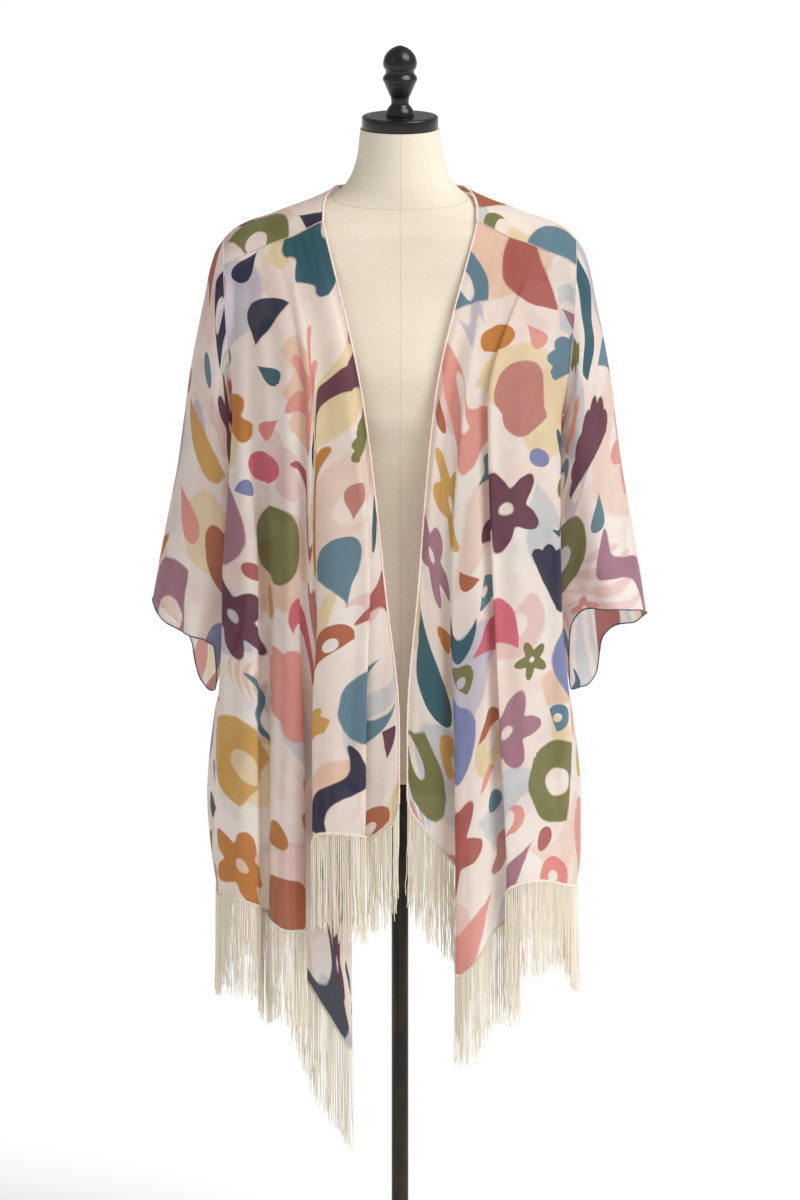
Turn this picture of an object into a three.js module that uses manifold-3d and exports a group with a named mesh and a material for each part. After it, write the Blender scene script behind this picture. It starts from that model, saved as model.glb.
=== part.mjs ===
import * as THREE from 'three';
import Module from 'manifold-3d';

const wasm = await Module();
wasm.setup();

// Stand and form, in mm above the floor
const BASE_RADIUS = 180;
const BASE_HEIGHT = 12;
const BASE_EDGE = 3;
const COLLAR_RADIUS = 21;
const COLLAR_HEIGHT = 44;
const POLE_RADIUS = 10.5;
const FORM_BOTTOM = 681;
const FORM_NECK_TOP = 1494.7;
const CAP_RADIUS = 47.5;
const CAP_HEIGHT = 16;
const FIT_GAP = 0.3;

// Cloth, in mm
const CLOTH = 1.2;
const SEAM_GAP = 0.35;
const ARM_GAP = 1.2;
const REST_GAP = 2.1;
const YOKE_REST = 2.7;
const YOKE_FAN = 21;
const FOLD_RADIUS = 13;
const CHEST_Z = 1170;
const WAIST_Z = 930;
const HIP_Z = 760;
const HEM_Z = 600;

// Armhole, an upright oval that leans in towards the underarm
const ARM_TOP = 1354;
const ARM_BOTTOM = 1136;
const ARM_MID = (ARM_TOP + ARM_BOTTOM) / 2;
const ARM_HALF = (ARM_TOP - ARM_BOTTOM) / 2;
const ARM_X = 220;
const ARM_LEAN = 16;
const ARM_Y = 5;
const ARM_FRONT = 66;
const ARM_BACK = 70;

// Fringe, in mm
const HEADER_GAP = 1;
const HEADER_DEPTH = 6;
const HEADER_THICK = 1.6;
const HANG_SHARE = 0.7;
const STRAND_SPACING = 8.8;
const STRAND_LENGTH = 118;
const STRAND_RADIUS = 0.68;
const STRAND_APART = 3.2;

const table = (names, rows) => rows.map((row) => Object.fromEntries(names.map((n, i) => [n, row[i]])));

// Horizontal sections of the form: half width, depth to the front and to the back, squareness
const FORM_RINGS = table(['z', 'half', 'front', 'back', 'power'], [
  [681, 148, 94, 98, 2.2],
  [688, 152, 98, 102, 2.2],
  [760, 162, 103, 110, 2.2],
  [840, 164, 102, 112, 2.2],
  [920, 149, 97, 98, 2.15],
  [985, 129, 91, 86, 2.1],
  [1040, 121, 89, 82, 2.1],
  [1100, 130, 96, 86, 2.1],
  [1150, 144, 110, 92, 2.15],
  [1190, 150, 111, 96, 2.2],
  [1240, 155, 99, 99, 2.25],
  [1290, 165, 83, 99, 2.3],
  [1330, 178, 73, 93, 2.3],
  [1355, 180, 67, 84, 2.2],
  [1370, 173, 64, 77, 2.1],
  [1381, 159, 60, 72, 2.0],
  [1391, 138, 57.5, 69, 2.0],
  [1400, 111, 56, 66, 2.0],
  [1408, 90, 55.5, 64, 2.0],
  [1416, 77, 55, 62, 2.0],
  [1426, 67, 54.5, 59, 2.0],
  [1441, 59, 53, 55, 2.0],
  [1463, 53, 51, 51, 2.0],
  [1494.7, 49.5, 49, 49, 2.0],
]);
const FORM_TOP_RING = 19;

// Turned profile of the finial: height above its foot and radius
const FINIAL_PROFILE = table(['z', 'r'], [
  [0, 17.5], [4, 17.4], [9, 15.2], [15, 11], [21, 11.2], [28, 14], [41, 19.5], [46.5, 21.7],
  [49, 20.8], [53.5, 17.8], [57, 17.8], [60, 20], [65, 21.3], [73, 19.8], [82, 13.5], [88.3, 0],
]);

// Ridge of the cloth over the shoulder, and how fast it falls to the front and to the back
const SHOULDER = table(['x', 'ridge', 'frontFall', 'backFall'], [
  [0, 1446, 0.0105, 0.0121],
  [76, 1422, 0.0084, 0.0105],
  [100, 1410, 0.0076, 0.0092],
  [128, 1397.5, 0.0092, 0.0089],
  [157, 1387.5, 0.0103, 0.0086],
  [190, 1376.5, 0.0129, 0.0130],
  [207, 1367, 0.0138, 0.0140],
  [220, 1354.5, 0.0146, 0.0133],
]);

// Yoke seams and back neck in plan, from the neck out to the armhole
const FRONT_SEAM = table(['x', 'y'], [[96, -53], [128, -50.5], [157, -48], [190, -45], [220, -38]]);
const BACK_SEAM = table(['x', 'y'], [[0, 104], [96, 98], [157, 84], [190, 67], [220, 50]]);
const NECK_EDGE = table(['x', 'y'], [
  [96, -53], [95.5, -37], [93, -21], [88.5, -5], [82, 11], [72, 32], [54, 53], [29, 67], [0, 72],
]);

// Each row is one fold line, from the front edge to the side seam: x on the yoke seam, x and y at four
// heights below it, and the height of the hem there. The last row lies on the side seam.
const FOLD_COLUMNS = ['xTop', 'xChest', 'xWaist', 'xHip', 'xHem', 'yChest', 'yWaist', 'yHip', 'yHem', 'zHem'];
const LEFT_FRONT = table(FOLD_COLUMNS, [
  [-96, -46, -18, -1, -1, -120, -132, -139, -143, 669],
  [-100, -50, -23, -7, -7, -121, -133, -140, -144, 642],
  [-104, -54, -29, -21, -22, -122, -133, -139, -142, 630],
  [-109, -59, -43, -51, -55, -124, -129, -131, -131, 617],
  [-114, -65, -38, -38, -38, -127, -141, -147, -153, 625],
  [-127, -84, -71, -75, -75, -129, -145, -153, -160, 632],
  [-140, -104, -104, -112, -112, -127, -139, -149, -157, 631],
  [-147, -112, -109, -82, -56, -122, -129, -122, -112, 338],
  [-153, -120, -118, -131, -136, -118, -121, -101, -88, 463],
  [-159, -128, -124, -116, -114, -120, -128, -128, -131, 505],
  [-168, -144, -142, -142, -144, -117, -134, -136, -140, 504],
  [-177, -160, -158, -160, -161, -108, -124, -126, -129, 515],
  [-183, -173, -161, -163, -164, -98, -99, -93, -90, 520],
  [-189, -186, -171, -173, -174, -90, -98, -93, -90, 524],
  [-194, -195, -174, -175, -176, -89, -117, -119, -122, 533],
  [-200, -201, -199, -200, -201, -84, -119, -121, -123, 541],
  [-207, -206, -226, -227, -227, -73, -97, -98, -98, 542],
  [-220, -209, -187, -231, -240, -43, 0, 0, 0, 535],
]);
const RIGHT_FRONT = table(FOLD_COLUMNS, [
  [96, 43, 22, 9, 9, -120, -130, -136, -139, 672],
  [101, 49, 28, 15, 16, -121, -131, -138, -140, 652],
  [113, 62, 42, 41, 45, -124, -133, -138, -140, 616],
  [125, 76, 62, 84, 92, -124, -128, -124, -118, 560],
  [134, 84, 69, 69, 66, -128, -140, -150, -160, 443],
  [149, 98, 90, 93, 100, -127, -143, -152, -161, 473],
  [158, 104, 104, 111, 117, -121, -131, -134, -136, 509],
  [166, 114, 122, 136, 154, -116, -123, -122, -121, 524],
  [172, 110, 113, 119, 127, -127, -141, -149, -153, 559],
  [185, 137, 140, 150, 162, -114, -133, -140, -143, 569],
  [197, 168, 171, 176, 185, -95, -106, -108, -106, 562],
  [207, 197, 203, 213, 216, -76, -90, -86, -82, 550],
  [220, 209, 185, 215, 226, -43, 0, 0, 0, 537],
]);
const BACK_FOLDS = table(FOLD_COLUMNS, [
  [-220, -209, -187, -231, -240, 57, 0, 0, 0, 535],
  [-210, -203, -204, -219, -223, 78, 72, 71, 73, 540],
  [-192, -178, -177, -187, -193, 86, 85, 83, 86, 548],
  [-170, -152, -152, -156, -158, 105, 119, 127, 135, 556],
  [-140, -122, -122, -126, -126, 108, 107, 109, 111, 566],
  [-108, -92, -88, -86, -84, 115, 129, 141, 149, 578],
  [-70, -58, -54, -50, -50, 112, 117, 124, 124, 588],
  [-30, -22, -18, -14, -14, 115, 131, 145, 151, 595],
  [10, 14, 20, 22, 24, 112, 118, 125, 124, 596],
  [50, 52, 56, 60, 62, 115, 131, 143, 151, 590],
  [90, 84, 88, 92, 96, 110, 111, 115, 115, 580],
  [125, 118, 122, 128, 132, 109, 125, 135, 141, 570],
  [153, 145, 149, 157, 161, 97, 99, 101, 101, 560],
  [181, 173, 177, 189, 195, 86, 93, 99, 100, 552],
  [203, 199, 200, 205, 213, 70, 63, 60, 58, 542],
  [220, 209, 185, 215, 226, 57, 0, 0, 0, 537],
]);

// Side seams under the arm, half width at each height
const SIDE_SEAM = table(['z', 'left', 'right'], [
  [1136, 204, 204], [1060, 189, 189], [930, 187, 185], [860, 193, 188], [800, 219, 206],
  [760, 231, 215], [650, 241, 226], [580, 236, 226], [535, 229, 221],
]);

// How far down each course of a panel lies, as a share of its length
const FRONT_COURSES = [0, 0.055, 0.11, 0.16, 0.21, 0.242, 0.31, 0.38, 0.46, 0.55, 0.65, 0.82, 1];
const BACK_COURSES = [0, 0.055, 0.11, 0.16, 0.21, 0.242, 0.36, 0.5, 0.66, 0.82, 1];

// A sleeve's rings from armhole to cuff: outer point, how far in each sleeve's underside comes and how
// high it is, and depth to the front and the back
const SLEEVE_RINGS = table(['t', 'outX', 'outZ', 'inLeft', 'inRight', 'inZ', 'front', 'back'], [
  [0, 220, 1354, 204, 204, 1136, 66, 70],
  [0.05, 229, 1340, 207, 207, 1131, 66, 70],
  [0.1, 237, 1316, 207, 206, 1122, 66, 71],
  [0.18, 243, 1285, 205, 203, 1104, 66, 72],
  [0.3, 253, 1236, 202, 198, 1066, 67, 74],
  [0.42, 263, 1180, 201, 195, 1024, 68, 76],
  [0.55, 270, 1125, 200, 194, 976, 70, 78],
  [0.67, 277, 1075, 199, 195, 932, 72, 80],
  [0.8, 289, 1010, 203, 201, 884, 74, 82],
  [0.9, 300, 950, 215, 214, 846, 76, 84],
  [1, 309, 898, 231, 231, 812, 76, 84],
]);

// Soft folds down a sleeve: where round it, how deep, how wide, and where they start
const FOLD_ROUND = ['angle', 'depth', 'width', 'start'];
const LEFT_SLEEVE_FOLDS = table(FOLD_ROUND, [
  [-150, -7, 24, 0.25], [-108, 6, 22, 0.1], [-72, -8, 24, 0.2], [-30, 5, 24, 0.35],
  [35, -7, 26, 0.3], [80, 6, 26, 0.15], [122, -9, 26, 0.2], [165, 5, 22, 0.4],
]);
const RIGHT_SLEEVE_FOLDS = table(FOLD_ROUND, [
  [-158, 5, 22, 0.3], [-122, -8, 24, 0.15], [-84, 7, 24, 0.25], [-46, -6, 24, 0.1],
  [28, -5, 26, 0.3], [70, 7, 28, 0.2], [112, -8, 26, 0.1], [152, 5, 24, 0.35],
]);

// Height of the cuff's edge round the sleeve, against the plane of its last ring
const CUFF_COLUMNS = ['angle', 'drop'];
const LEFT_CUFF = table(CUFF_COLUMNS, [
  [-180, -6], [-160, 30], [-135, 30], [-90, 14], [-45, -2], [0, 2], [45, -8], [90, -24], [135, -42],
  [160, -34], [180, -6],
]);
const RIGHT_CUFF = table(CUFF_COLUMNS, [
  [-180, 14], [-160, 60], [-135, 50], [-90, 22], [-45, 0], [0, -10], [45, -14], [90, -22], [135, -42],
  [160, -36], [180, 14],
]);
const RINGS_ROUND = 25;

// Slope-limited smooth curve through the knots of a table column
function smooth(knots, values, at) {
  const n = knots.length;
  const up = knots[n - 1] > knots[0] ? 1 : -1;
  if ((at - knots[0]) * up <= 0) return values[0];
  if ((at - knots[n - 1]) * up >= 0) return values[n - 1];
  let i = 0;
  while ((at - knots[i + 1]) * up > 0) i += 1;
  const slope = (a) => (values[a + 1] - values[a]) / (knots[a + 1] - knots[a]);
  const tangent = (a) => {
    if (a === 0) return slope(0);
    if (a === n - 1) return slope(n - 2);
    const before = slope(a - 1);
    const after = slope(a);
    return before * after <= 0 ? 0 : (2 * before * after) / (before + after);
  };
  const h = knots[i + 1] - knots[i];
  const s = (at - knots[i]) / h;
  const a = 2 * s ** 3 - 3 * s ** 2 + 1;
  const b = s ** 3 - 2 * s ** 2 + s;
  const c = -2 * s ** 3 + 3 * s ** 2;
  const d = s ** 3 - s ** 2;
  return a * values[i] + b * h * tangent(i) + c * values[i + 1] + d * h * tangent(i + 1);
}

const read = (rows, key, name, at) => smooth(rows.map((r) => r[key]), rows.map((r) => r[name]), at);
const softMax = (a, b, width) => Math.max(a, b) + Math.max(width - Math.abs(a - b), 0) ** 2 / (4 * width);

// Depth of the form at a place across it, 0 outside its width
function formDepth(x, z, face) {
  const half = read(FORM_RINGS, 'z', 'half', z);
  const power = read(FORM_RINGS, 'z', 'power', z);
  const share = 1 - (Math.abs(x) / half) ** power;
  return share <= 0 ? 0 : read(FORM_RINGS, 'z', face, z) * share ** (1 / power);
}

// Height of a skin just off the form's shoulder at a point in plan
function shoulderHeight(x, y) {
  const face = y < 0 ? 'front' : 'back';
  const across = Math.max(0, Math.abs(x) - YOKE_REST);
  const deep = Math.max(0, Math.abs(y) - YOKE_REST);
  let low = 1250;
  let high = FORM_RINGS[FORM_TOP_RING].z;
  for (let step = 0; step < 24; step += 1) {
    const mid = (low + high) / 2;
    const over = across < read(FORM_RINGS, 'z', 'half', mid) && formDepth(across, mid, face) >= deep;
    if (over) low = mid;
    else high = mid;
  }
  return low + YOKE_REST;
}

// Height of the yoke's cloth over a point in plan
function yokeHeight(x, y) {
  const away = Math.abs(x);
  const fall = read(SHOULDER, 'x', y < ARM_Y ? 'frontFall' : 'backFall', away);
  const arch = read(SHOULDER, 'x', 'ridge', away) - fall * (y - ARM_Y) ** 2;
  return softMax(arch, shoulderHeight(x, y), 4);
}

function armholeX(z) {
  return ARM_X - ARM_LEAN * ((ARM_TOP - z) / (ARM_TOP - ARM_BOTTOM)) ** 2;
}

function armholeY(z, face) {
  const share = Math.sqrt(Math.max(0, 1 - ((z - ARM_MID) / ARM_HALF) ** 2));
  return face === 'front' ? ARM_Y - ARM_FRONT * share : ARM_Y + ARM_BACK * share;
}

// A panel's side edge: the armhole down to the underarm, then the side seam
function sideEdge(side, z, face) {
  const sign = side === 'left' ? -1 : 1;
  if (z > ARM_BOTTOM) return [sign * armholeX(z), armholeY(z, face)];
  return [sign * read(SIDE_SEAM, 'z', side, z), ARM_Y * Math.max(0, 1 - (ARM_BOTTOM - z) / 60)];
}

// One fold line followed down from the yoke seam
function foldPoint(row, seam, z, face) {
  const sign = Math.sign(row.xTop) || 1;
  const topX = row.xTop;
  const topY = read(seam, 'x', 'y', Math.abs(topX));
  const topZ = yokeHeight(topX, topY);
  const heights = [topZ, CHEST_Z, WAIST_Z, HIP_Z, HEM_Z];
  if (Math.abs(topX) === ARM_X) return sideEdge(sign < 0 ? 'left' : 'right', z, face);
  const x = smooth(heights, [topX, row.xChest, row.xWaist, row.xHip, row.xHem], z);
  const y = smooth(heights, [topY, row.yChest, row.yWaist, row.yHip, row.yHem], z);
  const rest = formDepth(x, z, face) + REST_GAP;
  return [x, Math.sign(y) * (rest > REST_GAP ? softMax(Math.abs(y), rest, 5) : Math.abs(y))];
}

// The rounded course of a panel at one level: a point on each end and three round every fold
function panelCourse(rows, seam, share, face) {
  const corners = rows.map((row) => {
    const topZ = yokeHeight(row.xTop, read(seam, 'x', 'y', Math.abs(row.xTop)));
    const z = topZ + (row.zHem - topZ) * share;
    const [x, y] = foldPoint(row, seam, z, face);
    return new THREE.Vector3(x, y, z);
  });
  const last = corners.length - 1;
  const course = [corners[0].clone().lerp(corners[1], SEAM_GAP / corners[0].distanceTo(corners[1]))];
  for (let i = 1; i < last; i += 1) {
    const back = corners[i - 1].clone().sub(corners[i]);
    const on = corners[i + 1].clone().sub(corners[i]);
    const reach = Math.min(FOLD_RADIUS, 0.42 * back.length(), 0.42 * on.length());
    const before = corners[i].clone().addScaledVector(back.normalize(), reach);
    const after = corners[i].clone().addScaledVector(on.normalize(), reach);
    const crown = corners[i].clone().multiplyScalar(2).add(before).add(after).divideScalar(4);
    course.push(before, crown, after);
  }
  course.push(corners[last].clone().lerp(corners[last - 1], SEAM_GAP / corners[last].distanceTo(corners[last - 1])));
  return course;
}

// The panel from its yoke seam, where it starts just below the yoke, down to its hem
function panelGrid(rows, seam, face) {
  const courses = face === 'front' ? FRONT_COURSES : BACK_COURSES;
  const grid = courses.map((share) => panelCourse(rows, seam, share, face));
  grid[0].forEach((point) => {
    point.y = read(seam, 'x', 'y', Math.abs(point.x));
    point.z = yokeHeight(point.x, point.y) - 2 * SEAM_GAP;
  });
  return grid;
}

// Directions square to a grid of points
function gridNormals(grid, around) {
  const rows = grid.length;
  const count = grid[0].length;
  const step = (k, by) => (around ? (k + by + count) % count : Math.min(count - 1, Math.max(0, k + by)));
  return grid.map((line, j) => line.map((point, k) => {
    const across = line[step(k, 1)].clone().sub(line[step(k, -1)]);
    const down = grid[Math.min(rows - 1, j + 1)][k].clone().sub(grid[Math.max(0, j - 1)][k]);
    return across.cross(down).normalize();
  }));
}

// A thin closed wall on both sides of a grid of points
function wallGeometry(grid, thickness, around) {
  const normals = gridNormals(grid, around);
  const rows = grid.length;
  const count = grid[0].length;
  const positions = [];
  for (const side of [0.5, -0.5]) {
    grid.forEach((line, j) => line.forEach((point, k) => {
      positions.push(...point.clone().addScaledVector(normals[j][k], side * thickness).toArray());
    }));
  }
  const half = rows * count;
  const at = (j, k, layer) => layer * half + j * count + (k % count);
  const index = [];
  const quad = (a, b, c, d) => index.push(a, b, c, a, c, d);
  const spans = around ? count : count - 1;
  for (let j = 0; j < rows - 1; j += 1) {
    for (let k = 0; k < spans; k += 1) {
      quad(at(j, k, 0), at(j, k + 1, 0), at(j + 1, k + 1, 0), at(j + 1, k, 0));
      quad(at(j, k, 1), at(j + 1, k, 1), at(j + 1, k + 1, 1), at(j, k + 1, 1));
    }
  }
  for (let k = 0; k < spans; k += 1) {
    quad(at(0, k, 0), at(0, k, 1), at(0, k + 1, 1), at(0, k + 1, 0));
    quad(at(rows - 1, k, 0), at(rows - 1, k + 1, 0), at(rows - 1, k + 1, 1), at(rows - 1, k, 1));
  }
  for (let j = 0; j < rows - 1 && !around; j += 1) {
    quad(at(j, 0, 0), at(j + 1, 0, 0), at(j + 1, 0, 1), at(j, 0, 1));
    quad(at(j, spans, 0), at(j, spans, 1), at(j + 1, spans, 1), at(j + 1, spans, 0));
  }
  return faceOut(geometryOf(positions, index));
}

function geometryOf(positions, index) {
  const geometry = new THREE.BufferGeometry();
  geometry.setAttribute('position', new THREE.Float32BufferAttribute(positions, 3));
  geometry.setIndex(index);
  return geometry;
}

// Turns a closed shape's faces outward
function faceOut(geometry) {
  const place = geometry.getAttribute('position');
  const index = geometry.getIndex().array;
  const corners = [new THREE.Vector3(), new THREE.Vector3(), new THREE.Vector3()];
  let volume = 0;
  for (let i = 0; i < index.length; i += 3) {
    corners.forEach((corner, c) => corner.fromBufferAttribute(place, index[i + c]));
    volume += corners[0].dot(corners[1].clone().cross(corners[2]));
  }
  if (volume < 0) {
    const turned = [];
    for (let i = 0; i < index.length; i += 3) turned.push(index[i], index[i + 2], index[i + 1]);
    geometry.setIndex(turned);
  }
  geometry.computeVertexNormals();
  return geometry;
}

// The yoke: lines from its front seam and neck edge over the shoulders to its back seam
function yokeGrid() {
  const neckX = NECK_EDGE[0].x;
  const seam = [220, 213, 206, 197, 186, 174, 159, 143, 127, 111].map((x) => {
    const front = [x, read(FRONT_SEAM, 'x', 'y', x)];
    return { front, backX: x + YOKE_FAN * (ARM_X - x) / (ARM_X - neckX) };
  });
  const neck = NECK_EDGE.map((row, i) => {
    return { front: [row.x, row.y], backX: (neckX + YOKE_FAN) * (1 - i / (NECK_EDGE.length - 1)) };
  });
  const half = [...seam, ...neck];
  const mirrored = half.slice(0, -1).reverse().map(({ front, backX }) => ({
    front: [-front[0], front[1]],
    backX: -backX,
  }));
  const columns = [...half, ...mirrored];
  const shares = [0.003, 0.14, 0.27, 0.4, 0.53, 0.67, 0.83, 0.997];
  return shares.map((share) => columns.map(({ front, backX }) => {
    const backY = read(BACK_SEAM, 'x', 'y', Math.abs(backX));
    const x = front[0] + (backX - front[0]) * share;
    const y = front[1] + (backY - front[1]) * share;
    const edge = Math.abs(x) > ARM_X - SEAM_GAP ? Math.sign(x) * (ARM_X - SEAM_GAP) : x;
    return new THREE.Vector3(edge, y, yokeHeight(edge, y));
  }));
}

function roundAngle(angle) {
  return ((((angle + 180) % 360) + 360) % 360) - 180;
}

// One sleeve, a limp tube hung from the armhole and open at the cuff
function sleeveGrid(sign, folds, cuff) {
  return SLEEVE_RINGS.map((ring) => {
    const inX = sign < 0 ? ring.inLeft : ring.inRight;
    const centre = new THREE.Vector2((ring.outX + inX) / 2, (ring.outZ + ring.inZ) / 2);
    const reach = new THREE.Vector2((ring.outX - inX) / 2, (ring.outZ - ring.inZ) / 2);
    const points = [];
    for (let k = 0; k < RINGS_ROUND; k += 1) {
      const angle = (360 * k) / RINGS_ROUND - 180;
      const turn = THREE.MathUtils.degToRad(angle);
      const bump = folds.reduce((sum, fold) => {
        const off = roundAngle(angle - fold.angle) / fold.width;
        const grown = THREE.MathUtils.smoothstep(ring.t, fold.start, 1);
        return sum + fold.depth * grown * Math.exp(-off * off);
      }, 0);
      const depth = Math.sin(turn) < 0 ? ring.front : ring.back;
      const bow = ARM_LEAN / 4 * Math.sin(turn) ** 2 * (1 - ring.t) ** 2;
      const swell = 1 + bump / depth;
      const x = centre.x + reach.x * Math.cos(turn) * (1 + 0.4 * (swell - 1)) + bow;
      const y = ARM_Y + depth * Math.sin(turn) * swell;
      const drop = read(cuff, 'angle', 'drop', angle) * ring.t ** 3;
      const z = centre.y + reach.y * Math.cos(turn) + drop;
      const gap = Math.max(SEAM_GAP, ARM_GAP * (1 - 8 * ring.t));
      points.push(new THREE.Vector3(sign * (x + gap), y, z));
    }
    return points;
  });
}

// Lofts a stack of closed rings and caps both ends
function loftGeometry(rings) {
  const count = rings[0].length;
  const positions = rings.flat().flatMap((p) => p.toArray());
  const index = [];
  for (let j = 0; j < rings.length - 1; j += 1) {
    for (let k = 0; k < count; k += 1) {
      const a = j * count + k;
      const b = j * count + ((k + 1) % count);
      index.push(a, b, b + count, a, b + count, a + count);
    }
  }
  for (const ring of [0, rings.length - 1]) {
    const middle = positions.length / 3;
    const centre = rings[ring].reduce((sum, p) => sum.add(p), new THREE.Vector3()).divideScalar(count);
    positions.push(...centre.toArray());
    for (let k = 0; k < count; k += 1) {
      const a = ring * count + k;
      const b = ring * count + ((k + 1) % count);
      index.push(...(ring === 0 ? [middle, b, a] : [middle, a, b]));
    }
  }
  return faceOut(geometryOf(positions, index));
}

function formGeometry() {
  const around = 28;
  const rings = FORM_RINGS.map((row) => Array.from({ length: around }, (_, k) => {
    const turn = (2 * Math.PI * k) / around;
    const c = Math.cos(turn);
    const s = Math.sin(turn);
    const x = Math.sign(c) * row.half * Math.abs(c) ** (2 / row.power);
    const y = Math.sign(s) * (s < 0 ? row.front : row.back) * Math.abs(s) ** (2 / row.power);
    return new THREE.Vector3(x, y, row.z);
  }));
  return loftGeometry(rings);
}

// A round turned solid from radius and height pairs, on the stand's axis
function turnedGeometry(profile, segments) {
  const points = profile.map(([r, z]) => new THREE.Vector2(r, z));
  const geometry = new THREE.LatheGeometry(points, segments);
  geometry.rotateX(Math.PI / 2);
  return geometry;
}

function baseGeometry() {
  const inner = BASE_RADIUS - BASE_EDGE;
  return turnedGeometry([
    [0, 0], [inner, 0], [BASE_RADIUS, BASE_EDGE], [BASE_RADIUS, BASE_HEIGHT - BASE_EDGE],
    [inner, BASE_HEIGHT], [0, BASE_HEIGHT],
  ], 40);
}

function collarGeometry() {
  const bottom = BASE_HEIGHT + FIT_GAP;
  const bore = POLE_RADIUS + FIT_GAP;
  return turnedGeometry([
    [bore, bottom], [COLLAR_RADIUS, bottom], [COLLAR_RADIUS, bottom + 6], [COLLAR_RADIUS - 5, bottom + 12],
    [COLLAR_RADIUS - 6, bottom + COLLAR_HEIGHT], [bore, bottom + COLLAR_HEIGHT], [bore, bottom],
  ], 24);
}

function poleGeometry() {
  return turnedGeometry([
    [0, BASE_HEIGHT + FIT_GAP], [POLE_RADIUS, BASE_HEIGHT + FIT_GAP],
    [POLE_RADIUS, FORM_BOTTOM - FIT_GAP], [0, FORM_BOTTOM - FIT_GAP],
  ], 24);
}

function capGeometry() {
  const bottom = FORM_NECK_TOP + FIT_GAP;
  return turnedGeometry([
    [0, bottom], [CAP_RADIUS - 1, bottom], [CAP_RADIUS, bottom + 1], [CAP_RADIUS, bottom + CAP_HEIGHT - 2],
    [CAP_RADIUS - 2, bottom + CAP_HEIGHT], [0, bottom + CAP_HEIGHT],
  ], 40);
}

function finialGeometry() {
  const foot = FORM_NECK_TOP + FIT_GAP + CAP_HEIGHT + FIT_GAP;
  return turnedGeometry([[0, foot], ...FINIAL_PROFILE.map((row) => [row.r, foot + row.z])], 20);
}

function solidOf(geometry) {
  const vertProperties = Float32Array.from(geometry.getAttribute('position').array);
  const triVerts = Uint32Array.from(geometry.getIndex().array);
  return new wasm.Manifold(new wasm.Mesh({ numProp: 3, vertProperties, triVerts }));
}

// A three-sided strand hanging from its root, its tip drifting a little
function strandGeometry(root, length, twist, drift) {
  const rings = [0, 1].map((end) => Array.from({ length: 3 }, (_, k) => {
    const turn = twist + (2 * Math.PI * k) / 3;
    const radius = STRAND_RADIUS * (end ? 0.8 : 1);
    const x = root.x + radius * Math.cos(turn) + end * drift.x;
    const y = root.y + radius * Math.sin(turn) + end * drift.y;
    return new THREE.Vector3(x, y, root.z + (end ? -length : 1));
  }));
  const positions = rings.flat().flatMap((p) => p.toArray());
  const index = [0, 1, 2, 3, 5, 4, 0, 3, 4, 0, 4, 1, 1, 4, 5, 1, 5, 2, 2, 5, 3, 2, 3, 0];
  return faceOut(geometryOf(positions, index));
}

// Steady pseudo-random share for a strand's length and drift
function spread(n) {
  const value = Math.sin(n * 12.9898) * 43758.5453;
  return value - Math.floor(value);
}

// Fringe along a hem: a narrow header just under the cloth with strands hung from it
function fringeGeometry(grid, spacing) {
  const hem = grid[grid.length - 1];
  const normals = gridNormals(grid, false)[grid.length - 1];
  const downs = hem.map((point, k) => {
    const along = hem[Math.min(hem.length - 1, k + 1)].clone().sub(hem[Math.max(0, k - 1)]).normalize();
    const down = normals[k].clone().cross(along);
    if (down.z > 0) down.negate();
    down.z -= HANG_SHARE;
    return down.normalize();
  });
  const top = hem.map((point, k) => point.clone().addScaledVector(downs[k], HEADER_GAP));
  const bottom = top.map((point) => new THREE.Vector3(point.x, point.y, point.z - HEADER_DEPTH));
  const header = solidOf(wallGeometry([top, bottom], HEADER_THICK, false));
  const roots = [];
  let travelled = spacing / 2;
  for (let k = 0; k < top.length - 1; k += 1) {
    const plan = Math.hypot(top[k + 1].x - top[k].x, top[k + 1].y - top[k].y);
    while (travelled < plan) {
      const root = top[k].clone().lerp(top[k + 1], travelled / plan);
      root.z -= HEADER_DEPTH / 2;
      const near = roots.some((other) => Math.hypot(other.x - root.x, other.y - root.y) < STRAND_APART);
      if (!near) roots.push(root);
      travelled += spacing;
    }
    travelled -= plan;
  }
  const strands = roots.map((root, n) => {
    const length = STRAND_LENGTH * (0.93 + 0.12 * spread(n + 1));
    const drift = new THREE.Vector2(spread(n + 7) - 0.5, spread(n + 13) - 0.5);
    return solidOf(strandGeometry(root, length, spread(n + 3) * Math.PI, drift));
  });
  const joined = wasm.Manifold.union([header, ...strands]).getMesh();
  return faceOut(geometryOf(Array.from(joined.vertProperties), Array.from(joined.triVerts)));
}

function material(color, roughness, metalness) {
  return new THREE.MeshStandardMaterial({ color, roughness, metalness });
}

const printedCloth = () => material(0xe9ddd2, 0.8, 0);
const fringeYarn = () => material(0xece4d0, 0.85, 0);
const formLinen = () => material(0xe2d8c6, 0.9, 0);
const blackGloss = () => material(0x17171a, 0.25, 0);
const blackMetal = () => material(0x2a251f, 0.4, 0.6);

const coatOnForm = new THREE.Group();

function add(name, geometry, look) {
  const mesh = new THREE.Mesh(geometry, look);
  mesh.name = name;
  coatOnForm.add(mesh);
}

const leftFront = panelGrid(LEFT_FRONT, FRONT_SEAM, 'front');
const rightFront = panelGrid(RIGHT_FRONT, FRONT_SEAM, 'front');
const back = panelGrid(BACK_FOLDS, BACK_SEAM, 'back');

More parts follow.
